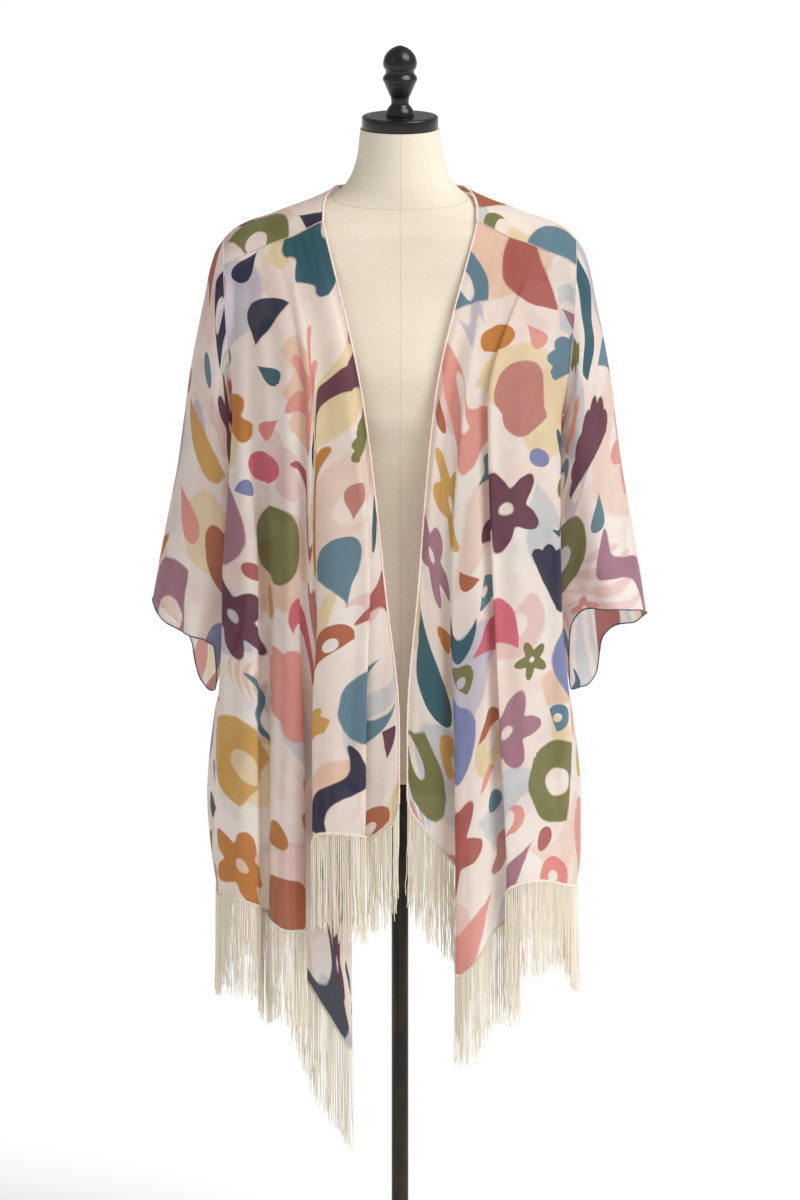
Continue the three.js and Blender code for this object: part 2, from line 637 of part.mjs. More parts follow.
add('base_disc', baseGeometry(), blackMetal());
add('pole_collar', collarGeometry(), blackMetal());
add('pole', poleGeometry(), blackMetal());
add('form_torso', formGeometry(), formLinen());
add('neck_cap', capGeometry(), blackGloss());
add('finial', finialGeometry(), blackGloss());
add('yoke', wallGeometry(yokeGrid(), CLOTH, false), printedCloth());
add('front_left', wallGeometry(leftFront, CLOTH, false), printedCloth());
add('front_right', wallGeometry(rightFront, CLOTH, false), printedCloth());
add('back', wallGeometry(back, CLOTH, false), printedCloth());
add('sleeve_left', wallGeometry(sleeveGrid(-1, LEFT_SLEEVE_FOLDS, LEFT_CUFF), CLOTH, true), printedCloth());
add('sleeve_right', wallGeometry(sleeveGrid(1, RIGHT_SLEEVE_FOLDS, RIGHT_CUFF), CLOTH, true), printedCloth());
add('fringe_front_left', fringeGeometry(leftFront, STRAND_SPACING), fringeYarn());
add('fringe_front_right', fringeGeometry(rightFront, STRAND_SPACING), fringeYarn());
add('fringe_back', fringeGeometry(back, STRAND_SPACING), fringeYarn());

export default coatOnForm;
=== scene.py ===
import math
import random

import bpy
import numpy as np
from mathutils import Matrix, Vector


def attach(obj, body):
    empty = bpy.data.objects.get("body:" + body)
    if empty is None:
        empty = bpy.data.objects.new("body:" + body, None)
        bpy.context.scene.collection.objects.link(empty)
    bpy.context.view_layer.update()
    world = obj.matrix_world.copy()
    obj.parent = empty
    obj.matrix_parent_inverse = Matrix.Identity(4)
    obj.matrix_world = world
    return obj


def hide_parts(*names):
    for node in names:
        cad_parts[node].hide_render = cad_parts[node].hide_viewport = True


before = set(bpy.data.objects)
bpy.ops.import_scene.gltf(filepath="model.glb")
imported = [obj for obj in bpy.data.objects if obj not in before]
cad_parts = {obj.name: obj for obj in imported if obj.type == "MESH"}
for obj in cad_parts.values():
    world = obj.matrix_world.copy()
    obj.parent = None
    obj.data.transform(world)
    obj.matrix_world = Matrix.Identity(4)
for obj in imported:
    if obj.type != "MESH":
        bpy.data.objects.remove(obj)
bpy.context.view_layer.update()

mm = 0.001

# Camera, floor and light

photo = {
    "midHeight": 0.8982,   # height on the axis that the middle of the frame looks at
    "frameHeight": 1.5,    # how much of the object's height the frame takes in
    "tilt": 10.0,          # degrees that the camera looks down
    "lens": 800.0,         # far off and narrow, as the photo has next to no perspective
    "sensor": 36.0,
}


def makeCamera():
    data = bpy.data.cameras.new("photoCamera")
    data.lens = photo["lens"]
    data.sensor_width = photo["sensor"]
    data.clip_end = 400
    data.dof.use_dof = False
    camera = bpy.data.objects.new("photoCamera", data)
    bpy.context.scene.collection.objects.link(camera)
    away = photo["frameHeight"] * photo["lens"] / photo["sensor"]
    tilt = math.radians(photo["tilt"])
    target = Vector((0, 0, photo["midHeight"]))
    camera.location = target + Vector((0, -away * math.cos(tilt), away * math.sin(tilt)))
    camera.rotation_euler = (target - camera.location).to_track_quat("-Z", "Y").to_euler()
    bpy.context.scene.camera = camera


studio = {
    "sky": 0.37,             # even light from all round
    "key": 2.95,             # softened light from the front right
    "keyTurn": (44, 0, 60),
    "keySpread": 40,
    "side": 0.16,
    "sideTurn": (60, 0, -60),
    "floorSize": 160.0,
}


def makeSun(name, strength, turn, spread):
    data = bpy.data.lights.new(name, "SUN")
    data.energy = strength
    data.angle = math.radians(spread)
    lamp = bpy.data.objects.new(name, data)
    lamp.rotation_euler = [math.radians(a) for a in turn]
    bpy.context.scene.collection.objects.link(lamp)


def makeStudio():
    scene = bpy.context.scene
    scene.view_settings.view_transform = "Standard"
    scene.view_settings.look = "None"
    world = bpy.data.worlds.new("studio")
    world.use_nodes = True
    world.node_tree.nodes["Background"].inputs["Color"].default_value = (1, 0.995, 0.985, 1)
    world.node_tree.nodes["Background"].inputs["Strength"].default_value = studio["sky"]
    scene.world = world
    makeSun("key", studio["key"], studio["keyTurn"], studio["keySpread"])
    makeSun("side", studio["side"], studio["sideTurn"], studio["keySpread"])
    bpy.ops.object.select_all(action="DESELECT")
    bpy.ops.mesh.primitive_plane_add(size=studio["floorSize"])
    floor = bpy.context.object
    floor.name = "floor"
    pale = bpy.data.materials.new("paleFloor")
    pale.use_nodes = True
    pale.node_tree.nodes["Principled BSDF"].inputs["Base Color"].default_value = (0.97, 0.97, 0.968, 1)
    pale.node_tree.nodes["Principled BSDF"].inputs["Roughness"].default_value = 0.95
    floor.data.materials.append(pale)


makeCamera()
makeStudio()
print("studio ready")

# Small helpers for node trees


class Signal:
    def __init__(self, tree, socket):
        self.tree = tree
        self.socket = socket

    def combine(self, operation, *others):
        node = self.tree.nodes.new("ShaderNodeMath")
        node.operation = operation
        self.tree.links.new(self.socket, node.inputs[0])
        for place, other in enumerate(others, 1):
            if isinstance(other, Signal):
                self.tree.links.new(other.socket, node.inputs[place])
            else:
                node.inputs[place].default_value = other
        return Signal(self.tree, node.outputs[0])

    def __add__(self, other):
        return self.combine("ADD", other)

    def __sub__(self, other):
        return self.combine("SUBTRACT", other)

    def __mul__(self, other):
        return self.combine("MULTIPLY", other)

    def abs(self):
        return self.combine("ABSOLUTE")

    def sin(self):
        return self.combine("SINE")

    def root(self):
        return self.combine("MAXIMUM", 0.0).combine("SQRT")

    def most(self, other):
        return self.combine("MAXIMUM", other)

    def near(self, value):
        return self.combine("COMPARE", value, 0.5)

    def flip(self):
        return self.combine("MULTIPLY", -1.0)


def addNode(tree, kind, sockets=None, **settings):
    node = tree.nodes.new(kind)
    for name, value in settings.items():
        setattr(node, name, value)
    for name, value in (sockets or {}).items():
        value = value.socket if isinstance(value, Signal) else value
        if isinstance(value, bpy.types.NodeSocket):
            tree.links.new(value, node.inputs[name])
        else:
            node.inputs[name].default_value = value
    return node


def newMaterial(name):
    material = bpy.data.materials.new(name)
    material.use_nodes = True
    tree = material.node_tree
    tree.nodes.clear()
    return material, tree


def linear(red, green, blue):
    parts = [c / 255 for c in (red, green, blue)]
    parts = [c / 12.92 if c <= 0.04045 else ((c + 0.055) / 1.055) ** 2.4 for c in parts]
    return (*parts, 1.0)


def mixColour(tree, share, first, second):
    return addNode(tree, "ShaderNodeMix", {0: share, 6: first, 7: second}, data_type="RGBA").outputs[2]


def noiseOf(tree, where, scale, detail=2.0, rough=0.5, output="Fac"):
    return addNode(tree, "ShaderNodeTexNoise",
                   {"Vector": where, "Scale": scale, "Detail": detail, "Roughness": rough}).outputs[output]


def stretched(tree, where, scale):
    return addNode(tree, "ShaderNodeMapping", {"Vector": where, "Scale": scale}).outputs[0]


def grainOf(tree, where, scale, detail):
    return noiseOf(tree, stretched(tree, where, scale), 1.0, detail)


def bumpOf(tree, height, strength, distance):
    return addNode(tree, "ShaderNodeBump",
                   {"Height": height, "Strength": strength, "Distance": distance}).outputs[0]


def principled(tree, sockets):
    return addNode(tree, "ShaderNodeBsdfPrincipled", sockets).outputs[0]


def showOn(tree, shader):
    addNode(tree, "ShaderNodeOutputMaterial", {"Surface": shader})


def ranged(tree, value, low, high, toLow, toHigh):
    return addNode(tree, "ShaderNodeMapRange",
                   {"Value": value, "From Min": low, "From Max": high, "To Min": toLow, "To Max": toHigh},
                   clamp=True).outputs[0]


def objectPlace(tree):
    return addNode(tree, "ShaderNodeTexCoord").outputs["Object"]


def strandPlace(tree):
    return addNode(tree, "ShaderNodeUVMap", uv_map="strand").outputs[0]


def signalsOf(tree, vector):
    split = addNode(tree, "ShaderNodeSeparateXYZ", {"Vector": vector})
    return [Signal(tree, split.outputs[i]) for i in range(3)]


# The print is a scatter of plain cut-paper shapes, each kept in its own round place

inks = {
    "navy": (38, 42, 70), "deepTeal": (44, 94, 108), "slate": (96, 132, 150), "mustard": (214, 168, 92),
    "amber": (198, 128, 56), "rust": (178, 102, 70), "brick": (178, 96, 90), "rose": (194, 130, 122),
    "coral": (228, 140, 134), "pink": (212, 106, 124), "mauve": (166, 120, 138), "plum": (104, 56, 78),
    "olive": (122, 122, 72), "ink": (36, 40, 68), "blushPink": (230, 158, 148), "periwinkle": (128, 138, 184),
}
paleInks = {
    "lilac": (196, 194, 214), "peach": (240, 200, 172), "blush": (238, 202, 198), "butter": (238, 216, 164),
    "mist": (204, 210, 216), "shell": (242, 214, 200),
}
shapeNames = ["leaf", "pebble", "crescent", "arch", "wave", "flower", "shell", "cloud", "petal", "pair",
              "reeds"]
boldShapes = {
    "large": ["crescent", "arch", "pebble", "shell", "leaf", "cloud", "flower", "wave", "petal"],
    "small": ["leaf", "petal", "pebble", "wave", "crescent", "leaf", "petal", "arch"],
}
paleShapes = ["pebble", "reeds", "wave", "leaf", "arch", "petal", "cloud", "pebble"]


def shapeGroup():
    tree = bpy.data.node_groups.new("cutPaperShape", "ShaderNodeTree")
    tree.interface.new_socket("Place", in_out="INPUT", socket_type="NodeSocketVector")
    tree.interface.new_socket("Kind", in_out="INPUT", socket_type="NodeSocketFloat")
    tree.interface.new_socket("Inside", in_out="OUTPUT", socket_type="NodeSocketFloat")
    start = tree.nodes.new("NodeGroupInput")
    end = tree.nodes.new("NodeGroupOutput")
    split = addNode(tree, "ShaderNodeSeparateXYZ", {"Vector": start.outputs["Place"]})
    x = Signal(tree, split.outputs[0])
    y = Signal(tree, split.outputs[1])
    kind = Signal(tree, start.outputs["Kind"])
    squareX = x * x
    away = (squareX + y * y).root()
    turn = y.combine("ARCTAN2", x)
    lens = squareX.flip() + 1.0                       # 1 in the middle, 0 at both tips
    bowed = y + squareX * 0.42 - 0.2
    cupped = y - 0.62
    scallop = (x * 8.0).sin() * 0.1
    shapes = {
        "leaf": bowed.abs() - lens * 0.43,
        "pebble": (squareX * 1.15 + y * y * 2.3).root() - 0.93,
        "crescent": (away - 0.95).most((squareX + cupped * cupped).root().flip() + 0.82),
        "arch": ((away - 0.64).abs() - 0.32).most(y.flip() - 0.38),
        "wave": (y - (x * 3.7).sin() * 0.3).abs() - lens.root() * 0.29,
        "flower": (away - 0.66 - (turn * 5.0).sin() * 0.22).most(away.flip() + 0.13),
        "shell": (away - 0.86 - (turn * 6.0).sin().abs() * 0.13).most(y.flip() - 0.2 + x * 0.2),
        "cloud": (y + x * 0.15).abs() - lens.root() * 0.44 - scallop,
        "petal": y.abs() - (x + 1.0) * lens.root() * 0.44,
        "pair": ((x.abs() - 0.42) * 1.0).abs() - ((y * y).flip() + 0.72) * 0.48,
        "reeds": ((bowed * 1.55).combine("PINGPONG", 0.5) - 0.25).abs() - lens * 0.2 + 0.04,
    }
    total = None
    for number, name in enumerate(shapeNames):
        part = kind.near(float(number)) * shapes[name]
        total = part if total is None else total + part
    limited = total.most(away - 1.02)                 # no shape leaves its own round place
    tree.links.new(limited.socket, end.inputs["Inside"])
    return tree


printLook = {
    "cream": (250, 243, 236),
    "warm": (247, 228, 218),
    "paleStrength": 0.78,
    "boldStrength": 0.98,
    "edge": 0.022,
    "handCut": 0.2,        # how much the shapes' edges wander
    "reach": 0.92,         # how much of its own place a shape fills
    "threadPitch": 0.0007,
    "glow": 0.34,          # share of the light that the cloth passes on, scattered
    "sheerGround": 0.14,
    "sheerInk": 0.05,
}


def printedChiffon(group):
    look = printLook
    material, tree = newMaterial("printedChiffon")
    flat = addNode(tree, "ShaderNodeUVMap", uv_map="cloth").outputs[0]
    wander = noiseOf(tree, flat, 19.0, 2.0, output="Color")
    centred = addNode(tree, "ShaderNodeVectorMath", {0: wander, 1: (0.5, 0.5, 0.5)}, operation="SUBTRACT")
    shift = addNode(tree, "ShaderNodeVectorMath", {0: centred.outputs[0], "Scale": look["handCut"]},
                    operation="SCALE").outputs[0]

    def inkShare(layer, soft):
        place = addNode(tree, "ShaderNodeUVMap", uv_map=layer).outputs[0]
        moved = addNode(tree, "ShaderNodeVectorMath", {0: place, 1: shift}, operation="ADD").outputs[0]
        number = addNode(tree, "ShaderNodeUVMap", uv_map=layer + "Kind").outputs[0]
        kind = addNode(tree, "ShaderNodeSeparateXYZ", {"Vector": number}).outputs[0]
        shape = addNode(tree, "ShaderNodeGroup", node_tree=group)
        tree.links.new(moved, shape.inputs["Place"])
        tree.links.new(kind, shape.inputs["Kind"])
        share = ranged(tree, shape.outputs["Inside"], -soft, soft, 1.0, 0.0)
        tint = addNode(tree, "ShaderNodeAttribute", attribute_name=layer + "Tint").outputs["Color"]
        return Signal(tree, share), tint

    bold, boldTint = inkShare("bold", look["edge"])
    pale, paleTint = inkShare("pale", look["edge"] * 1.6)
    blotch = noiseOf(tree, flat, 6.5, 3.0)
    ground = mixColour(tree, ranged(tree, blotch, 0.38, 0.66, 0.0, 1.0), linear(*look["cream"]),
                       linear(*look["warm"]))
    washed = mixColour(tree, pale * look["paleStrength"], ground, paleTint)
    inked = mixColour(tree, bold * look["boldStrength"], washed, boldTint)
    dye = noiseOf(tree, flat, 45.0, 4.0, 0.6)
    thread = grainOf(tree, flat, (2600, 160, 1), 1.0)
    weft = grainOf(tree, flat, (160, 2600, 1), 1.0)
    shade = Signal(tree, ranged(tree, dye, 0.3, 0.7, 0.955, 1.03))
    shade = shade * Signal(tree, ranged(tree, thread, 0.3, 0.7, 0.97, 1.02))
    shade = shade * Signal(tree, ranged(tree, weft, 0.3, 0.7, 0.975, 1.015))
    worn = addNode(tree, "ShaderNodeVectorMath", {0: inked, "Scale": shade}, operation="SCALE").outputs[0]
    split = addNode(tree, "ShaderNodeSeparateXYZ", {"Vector": flat})
    warp = (Signal(tree, split.outputs[0]) * (math.tau / look["threadPitch"])).sin()
    fill = (Signal(tree, split.outputs[1]) * (math.tau / look["threadPitch"])).sin()
    ridges = warp * fill + Signal(tree, noiseOf(tree, flat, 300.0, 2.0)) * 1.5
    bump = bumpOf(tree, ridges, 0.16, 0.0003)
    body = principled(tree, {"Base Color": worn, "Roughness": 0.72, "Sheen Weight": 0.12,
                             "Sheen Roughness": 0.4, "Specular IOR Level": 0.22, "Normal": bump})
    glow = addNode(tree, "ShaderNodeBsdfTranslucent", {"Color": worn, "Normal": bump}).outputs[0]
    clear = addNode(tree, "ShaderNodeBsdfTransparent", {"Color": (1, 0.985, 0.97, 1)}).outputs[0]
    lit = addNode(tree, "ShaderNodeMixShader", {0: look["glow"], 1: body, 2: glow}).outputs[0]
    sheer = bold * (look["sheerInk"] - look["sheerGround"]) + look["sheerGround"]
    whole = addNode(tree, "ShaderNodeMixShader", {0: sheer, 1: lit, 2: clear}).outputs[0]
    showOn(tree, whole)
    return material


scatter = {
    "boldSizes": [68, 61, 54, 47, 41, 35, 30, 25, 21],   # half widths in mm, placed from the largest down
    "paleSizes": [92, 76, 62, 50, 40],
    "boldCrowding": 0.84, "paleCrowding": 0.82, "apart": 5, "largeFrom": 34, "tries": 5,
}


def scatterShapes(seed, low, high, sizes, crowding, colours, kindsFor):
    rng = random.Random(seed)
    placed = []
    area = (high[0] - low[0]) * (high[1] - low[1])
    names = list(colours)
    for size in sizes:
        for _ in range(int(area / (size * size) * scatter["tries"])):
            u = rng.uniform(low[0], high[0])
            v = rng.uniform(low[1], high[1])
            if any(math.hypot(u - o["u"], v - o["v"]) < crowding * (size + o["size"]) + scatter["apart"]
                   for o in placed):
                continue
            close = sorted(placed, key=lambda o: math.hypot(u - o["u"], v - o["v"]))[:4]
            free = [n for n in names if n not in [o["colour"] for o in close]]
            placed.append({"u": u, "v": v, "size": size * rng.uniform(0.92, 1.04),
                           "turn": rng.uniform(0, math.tau),
                           "kind": shapeNames.index(rng.choice(kindsFor(size))), "colour": rng.choice(free)})
    return placed


def paintShapes(mesh, layer, flatCorners, shapes, colours):
    centres = flatCorners.mean(axis=1)
    spots = np.array([(s["u"], s["v"]) for s in shapes])
    sizes = np.array([s["size"] for s in shapes])
    nearest = np.empty(len(centres), int)
    for start in range(0, len(centres), 4000):
        part = centres[start:start + 4000]
        away = np.linalg.norm(part[:, None] - spots[None], axis=2) / sizes[None]
        nearest[start:start + 4000] = away.argmin(axis=1)
    turns = np.array([s["turn"] for s in shapes])[nearest][:, None]
    off = (flatCorners - spots[nearest][:, None]) / (printLook["reach"] * sizes[nearest][:, None, None])
    placeX = off[..., 0] * np.cos(turns) + off[..., 1] * np.sin(turns)
    placeY = off[..., 1] * np.cos(turns) - off[..., 0] * np.sin(turns)
    kinds = np.array([s["kind"] for s in shapes], float)[nearest]
    tints = np.array([linear(*colours[s["colour"]]) for s in shapes])[nearest]
    corners = flatCorners.shape[1]
    place = mesh.uv_layers.new(name=layer)
    place.data.foreach_set("uv", np.stack([placeX, placeY], -1).ravel())
    number = mesh.uv_layers.new(name=layer + "Kind")
    number.data.foreach_set("uv", np.repeat(np.stack([kinds, kinds * 0], -1), corners, axis=0).ravel())
    tint = mesh.attributes.new(layer + "Tint", "FLOAT_COLOR", "CORNER")
    tint.data.foreach_set("color", np.repeat(tints, corners, axis=0).ravel())


def printOn(piece, flatCorners, seed):
    mesh = piece.data
    flat = mesh.uv_layers.new(name="cloth")
    flat.data.foreach_set("uv", (flatCorners * mm).ravel())
    low = flatCorners.reshape(-1, 2).min(axis=0)
    high = flatCorners.reshape(-1, 2).max(axis=0)
    boldOnes = scatterShapes(seed, low, high, scatter["boldSizes"], scatter["boldCrowding"], inks,
                             lambda size: boldShapes["large" if size > scatter["largeFrom"] else "small"])
    paleOnes = scatterShapes(seed + 1, low, high, scatter["paleSizes"], scatter["paleCrowding"], paleInks,
                             lambda size: paleShapes)
    paintShapes(mesh, "bold", flatCorners, boldOnes, inks)
    paintShapes(mesh, "pale", flatCorners, paleOnes, paleInks)
    mesh.uv_layers["cloth"].active_render = True
    mesh.uv_layers.active = mesh.uv_layers["cloth"]


# Curves and meshes, in millimetres


def smoothCurve(knots, values, at):
    knots, values, at = (np.asarray(a, float) for a in (knots, values, at))
    if knots[0] > knots[-1]:
        knots, values = knots[::-1], values[::-1]
    steps = np.diff(knots)
    slopes = np.diff(values) / steps
    tangents = np.concatenate([slopes[:1], slopes])
    same = slopes[:-1] * slopes[1:] > 0
    both = np.where(same, slopes[:-1] + slopes[1:], 1)
    tangents[1:-1] = np.where(same, 2 * slopes[:-1] * slopes[1:] / both, 0)
    at = np.clip(at, knots[0], knots[-1])
    i = np.clip(np.searchsorted(knots, at, side="right") - 1, 0, len(steps) - 1)
    s = (at - knots[i]) / steps[i]
    return ((2 * s ** 3 - 3 * s ** 2 + 1) * values[i] + (s ** 3 - 2 * s ** 2 + s) * steps[i] * tangents[i]
            + (3 * s ** 2 - 2 * s ** 3) * values[i + 1] + (s ** 3 - s ** 2) * steps[i] * tangents[i + 1])


def table(columns, rows):
    numbers = np.array(rows, float)
    return {name: numbers[:, i] for i, name in enumerate(columns.split())}


def softMax(first, second, width):
    return np.maximum(first, second) + np.maximum(width - np.abs(first - second), 0) ** 2 / (4 * width)


def easeIn(value, low, high):
    s = np.clip((value - low) / (high - low), 0, 1)
    return s * s * (3 - 2 * s)


def gridFaces(rows, columns, around=False):
    spans = columns if around else columns - 1
    j, k = np.meshgrid(np.arange(rows - 1), np.arange(spans), indexing="ij")
    j, k = j.ravel(), k.ravel()
    jj = np.stack([j, j, j + 1, j + 1], -1)
    kk = np.stack([k, k + 1, k + 1, k], -1)
    return jj, kk, jj * columns + kk % columns


def gridNormals(points, around=False):
    if around:
        across = np.roll(points, -1, axis=1) - np.roll(points, 1, axis=1)
    else:
        across = np.gradient(points, axis=1)
    normals = np.cross(across, np.gradient(points, axis=0))
    return normals / np.maximum(np.linalg.norm(normals, axis=2, keepdims=True), 1e-9)


def meshPiece(name, points, faces, material, uvs=None):
    mesh = bpy.data.meshes.new(name)
    mesh.from_pydata((points * mm).tolist(), [], faces)
    mesh.polygons.foreach_set("use_smooth", np.ones(len(mesh.polygons), bool))
    mesh.materials.append(material)
    if uvs is not None:
        layer = mesh.uv_layers.new(name="strand")
        index = np.empty(len(mesh.loops), int)
        mesh.loops.foreach_get("vertex_index", index)
        layer.data.foreach_set("uv", uvs[index].ravel())
    mesh.update()
    piece = bpy.data.objects.new(name, mesh)
    bpy.context.scene.collection.objects.link(piece)
    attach(piece, "root")
    return piece


def clothPiece(name, grid, flat, material, seed, around=False):
    rows, columns = grid.shape[:2]
    jj, kk, faces = gridFaces(rows, columns, around)
    corners = flat[jj, kk]
    points = grid.reshape(-1, 3)
    a, b, c = (points[faces[:, i]] for i in (0, 1, 3))
    outward = np.cross(b - a, c - a)
    middle = points[faces].mean(axis=1) - np.array([0, 0, 1150.0])
    middle[:, 2] = np.maximum(middle[:, 2], 0)
    if around:
        middle = points[faces].mean(axis=1) - grid.mean(axis=1)[jj[:, 0]]
    if (outward * middle).sum() < 0:
        faces, corners = faces[:, ::-1], corners[:, ::-1]
    piece = meshPiece(name, points, faces.tolist(), material)
    printOn(piece, corners, seed)
    a, b, c, d = (points[faces[:, i]] * mm for i in range(4))
    area = sum(np.linalg.norm(np.cross(p, q), axis=1).sum() / 2 for p, q in ((b - a, c - a), (c - a, d - a)))
    across, down = np.ptp(flat[..., 0]), np.ptp(flat[..., 1])
    print(f"{name}: {area:.3f} square metres, flat {across:.0f} by {down:.0f} mm")
    return piece


def alongPath(points, step):
    points = np.asarray(points, float)
    run = np.concatenate([[0], np.cumsum(np.linalg.norm(np.diff(points, axis=0), axis=1))])
    count = max(2, int(round(run[-1] / step)) + 1)
    at = np.linspace(0, run[-1], count)
    return np.stack([np.interp(at, run, points[:, i]) for i in range(3)], -1), at


def tubeMesh(path, radii, sides, closed=False):
    path = np.asarray(path, float)
    count = len(path)
    if closed:
        along = np.roll(path, -1, axis=0) - np.roll(path, 1, axis=0)
    else:
        along = np.gradient(path, axis=0)
    along /= np.maximum(np.linalg.norm(along, axis=1, keepdims=True), 1e-9)
    side = np.cross(along, np.array([0.13, 0.31, 1.0]))
    side /= np.maximum(np.linalg.norm(side, axis=1, keepdims=True), 1e-9)
    up = np.cross(side, along)
    turn = np.arange(sides) * math.tau / sides
    radii = np.broadcast_to(np.asarray(radii, float), (count,))
    rings = path[:, None] + radii[:, None, None] * (
        np.cos(turn)[None, :, None] * side[:, None] + np.sin(turn)[None, :, None] * up[:, None])
    points = rings.reshape(-1, 3)
    loops = count if closed else count - 1
    j, k = np.meshgrid(np.arange(loops), np.arange(sides), indexing="ij")
    j, k = j.ravel(), k.ravel()
    nextJ, nextK = (j + 1) % count, (k + 1) % sides
    faces = np.stack([j * sides + k, j * sides + nextK, nextJ * sides + nextK, nextJ * sides + k], -1)
    return points, faces.tolist(), ([] if closed else [list(range(sides))[::-1],
                                                       list(range((count - 1) * sides, count * sides))])


def joinParts(parts):
    points, faces, start = [], [], 0
    for partPoints, partFaces, caps in parts:
        points.append(partPoints)
        faces += [[i + start for i in face] for face in partFaces]
        faces += [[i + start for i in face] for face in caps]
        start += len(partPoints)
    return np.concatenate(points), faces


def meshFromParts(name, parts, material, uvs=None):
    points, faces = joinParts(parts)
    return meshPiece(name, points, faces, material, uvs)


# Dress form

formSizes = {
    "foot": 681, "top": 1494.7,   # heights of its two ends
    "smoothTo": 50,               # degrees
    "around": 160,
    "rings": 190,
    "seamHeight": 1.4122,  # the neck seam where it crosses the sides, and how it dips to the front
    "seamDip": 0.2,
}
formRings = table("z half front back power", [
    [681, 148, 94, 98, 2.2], [688, 152, 98, 102, 2.2], [760, 162, 103, 110, 2.2], [840, 164, 102, 112, 2.2],
    [920, 149, 97, 98, 2.15], [985, 129, 91, 86, 2.1], [1040, 121, 89, 82, 2.1], [1100, 130, 96, 86, 2.1],
    [1150, 144, 110, 92, 2.15], [1190, 150, 111, 96, 2.2], [1240, 155, 99, 99, 2.25],
    [1290, 165, 83, 99, 2.3],
    [1330, 178, 73, 93, 2.3], [1355, 180, 67, 84, 2.2], [1370, 173, 64, 77, 2.1], [1381, 159, 60, 72, 2.0],
    [1391, 138, 57.5, 69, 2.0], [1400, 111, 56, 66, 2.0], [1408, 90, 55.5, 64, 2.0],
    [1416, 77, 55, 62, 2.0],
    [1426, 67, 54.5, 59, 2.0], [1441, 59, 53, 55, 2.0], [1463, 53, 51, 51, 2.0], [1494.7, 49.5, 49, 49, 2.0],
])


def ofForm(name, z):
    return smoothCurve(formRings["z"], formRings[name], z)


def formDepth(x, z, face):
    share = 1 - (np.abs(x) / ofForm("half", z)) ** ofForm("power", z)
    inside = np.maximum(share, 0)
    return np.where(share <= 0, 0, ofForm(face, z) * inside ** (1 / ofForm("power", z)))


def formLinen():
    material, tree = newMaterial("formLinen")
    where = objectPlace(tree)
    x, y, z = signalsOf(tree, where)
    slub = grainOf(tree, where, (420, 420, 2600), 2.0)
    rise = grainOf(tree, where, (2600, 2600, 300), 2.0)
    mottle = noiseOf(tree, where, 9.0, 3.0)
    base = mixColour(tree, ranged(tree, mottle, 0.35, 0.65, 0.0, 1.0), linear(232, 221, 204),
                     linear(225, 212, 193))
    threads = mixColour(tree, ranged(tree, slub, 0.42, 0.7, 0.0, 0.7), base, linear(204, 188, 164))
    threads = mixColour(tree, ranged(tree, rise, 0.45, 0.72, 0.0, 0.4), threads, linear(244, 236, 222))
    middleSeam = ranged(tree, x.abs(), 0.0002, 0.0008, 1.0, 0.0)
    level = (y * formSizes["seamDip"] + formSizes["seamHeight"] - z).abs()
    neckSeam = ranged(tree, level, 0.0002, 0.0009, 1.0, 0.0)
    seam = Signal(tree, middleSeam).most(Signal(tree, neckSeam))
    colour = mixColour(tree, seam * 0.28, threads, linear(176, 158, 130))
    weave = Signal(tree, slub) + Signal(tree, rise) - seam * 1.4
    bump = bumpOf(tree, weave, 0.35, 0.0006)
    showOn(tree, principled(tree, {"Base Color": colour, "Roughness": 0.88, "Sheen Weight": 0.1,
                                   "Specular IOR Level": 0.2, "Normal": bump}))
    return material


def makeForm():
    heights = np.linspace(formSizes["foot"], formSizes["top"], formSizes["rings"])
    turns = np.arange(formSizes["around"]) * math.tau / formSizes["around"]
    c, s = np.cos(turns)[None], np.sin(turns)[None]
    half, power = ofForm("half", heights)[:, None], ofForm("power", heights)[:, None]
    depth = np.where(s < 0, ofForm("front", heights)[:, None], ofForm("back", heights)[:, None])
    x = np.sign(c) * half * np.abs(c) ** (2 / power)
    y = np.sign(s) * depth * np.abs(s) ** (2 / power)
    grid = np.stack([x, y, np.broadcast_to(heights[:, None], x.shape)], -1)
    rows, columns = grid.shape[:2]
    _, _, faces = gridFaces(rows, columns, True)
    points = grid.reshape(-1, 3)
    caps = [list(range(columns))[::-1], list(range((rows - 1) * columns, rows * columns))]
    piece = meshFromParts("linen_form", [(points, faces.tolist(), caps)], formLinen())
    bpy.ops.object.select_all(action="DESELECT")
    bpy.context.view_layer.objects.active = piece
    piece.select_set(True)
    bpy.ops.object.mode_set(mode="EDIT")
    bpy.ops.mesh.select_all(action="SELECT")
    bpy.ops.mesh.normals_make_consistent(inside=False)
    bpy.ops.object.mode_set(mode="OBJECT")
    bpy.ops.object.shade_smooth_by_angle(angle=math.radians(formSizes["smoothTo"]))
    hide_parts("form_torso")


makeForm()
print("form made")

# Turned stand, cap and finial


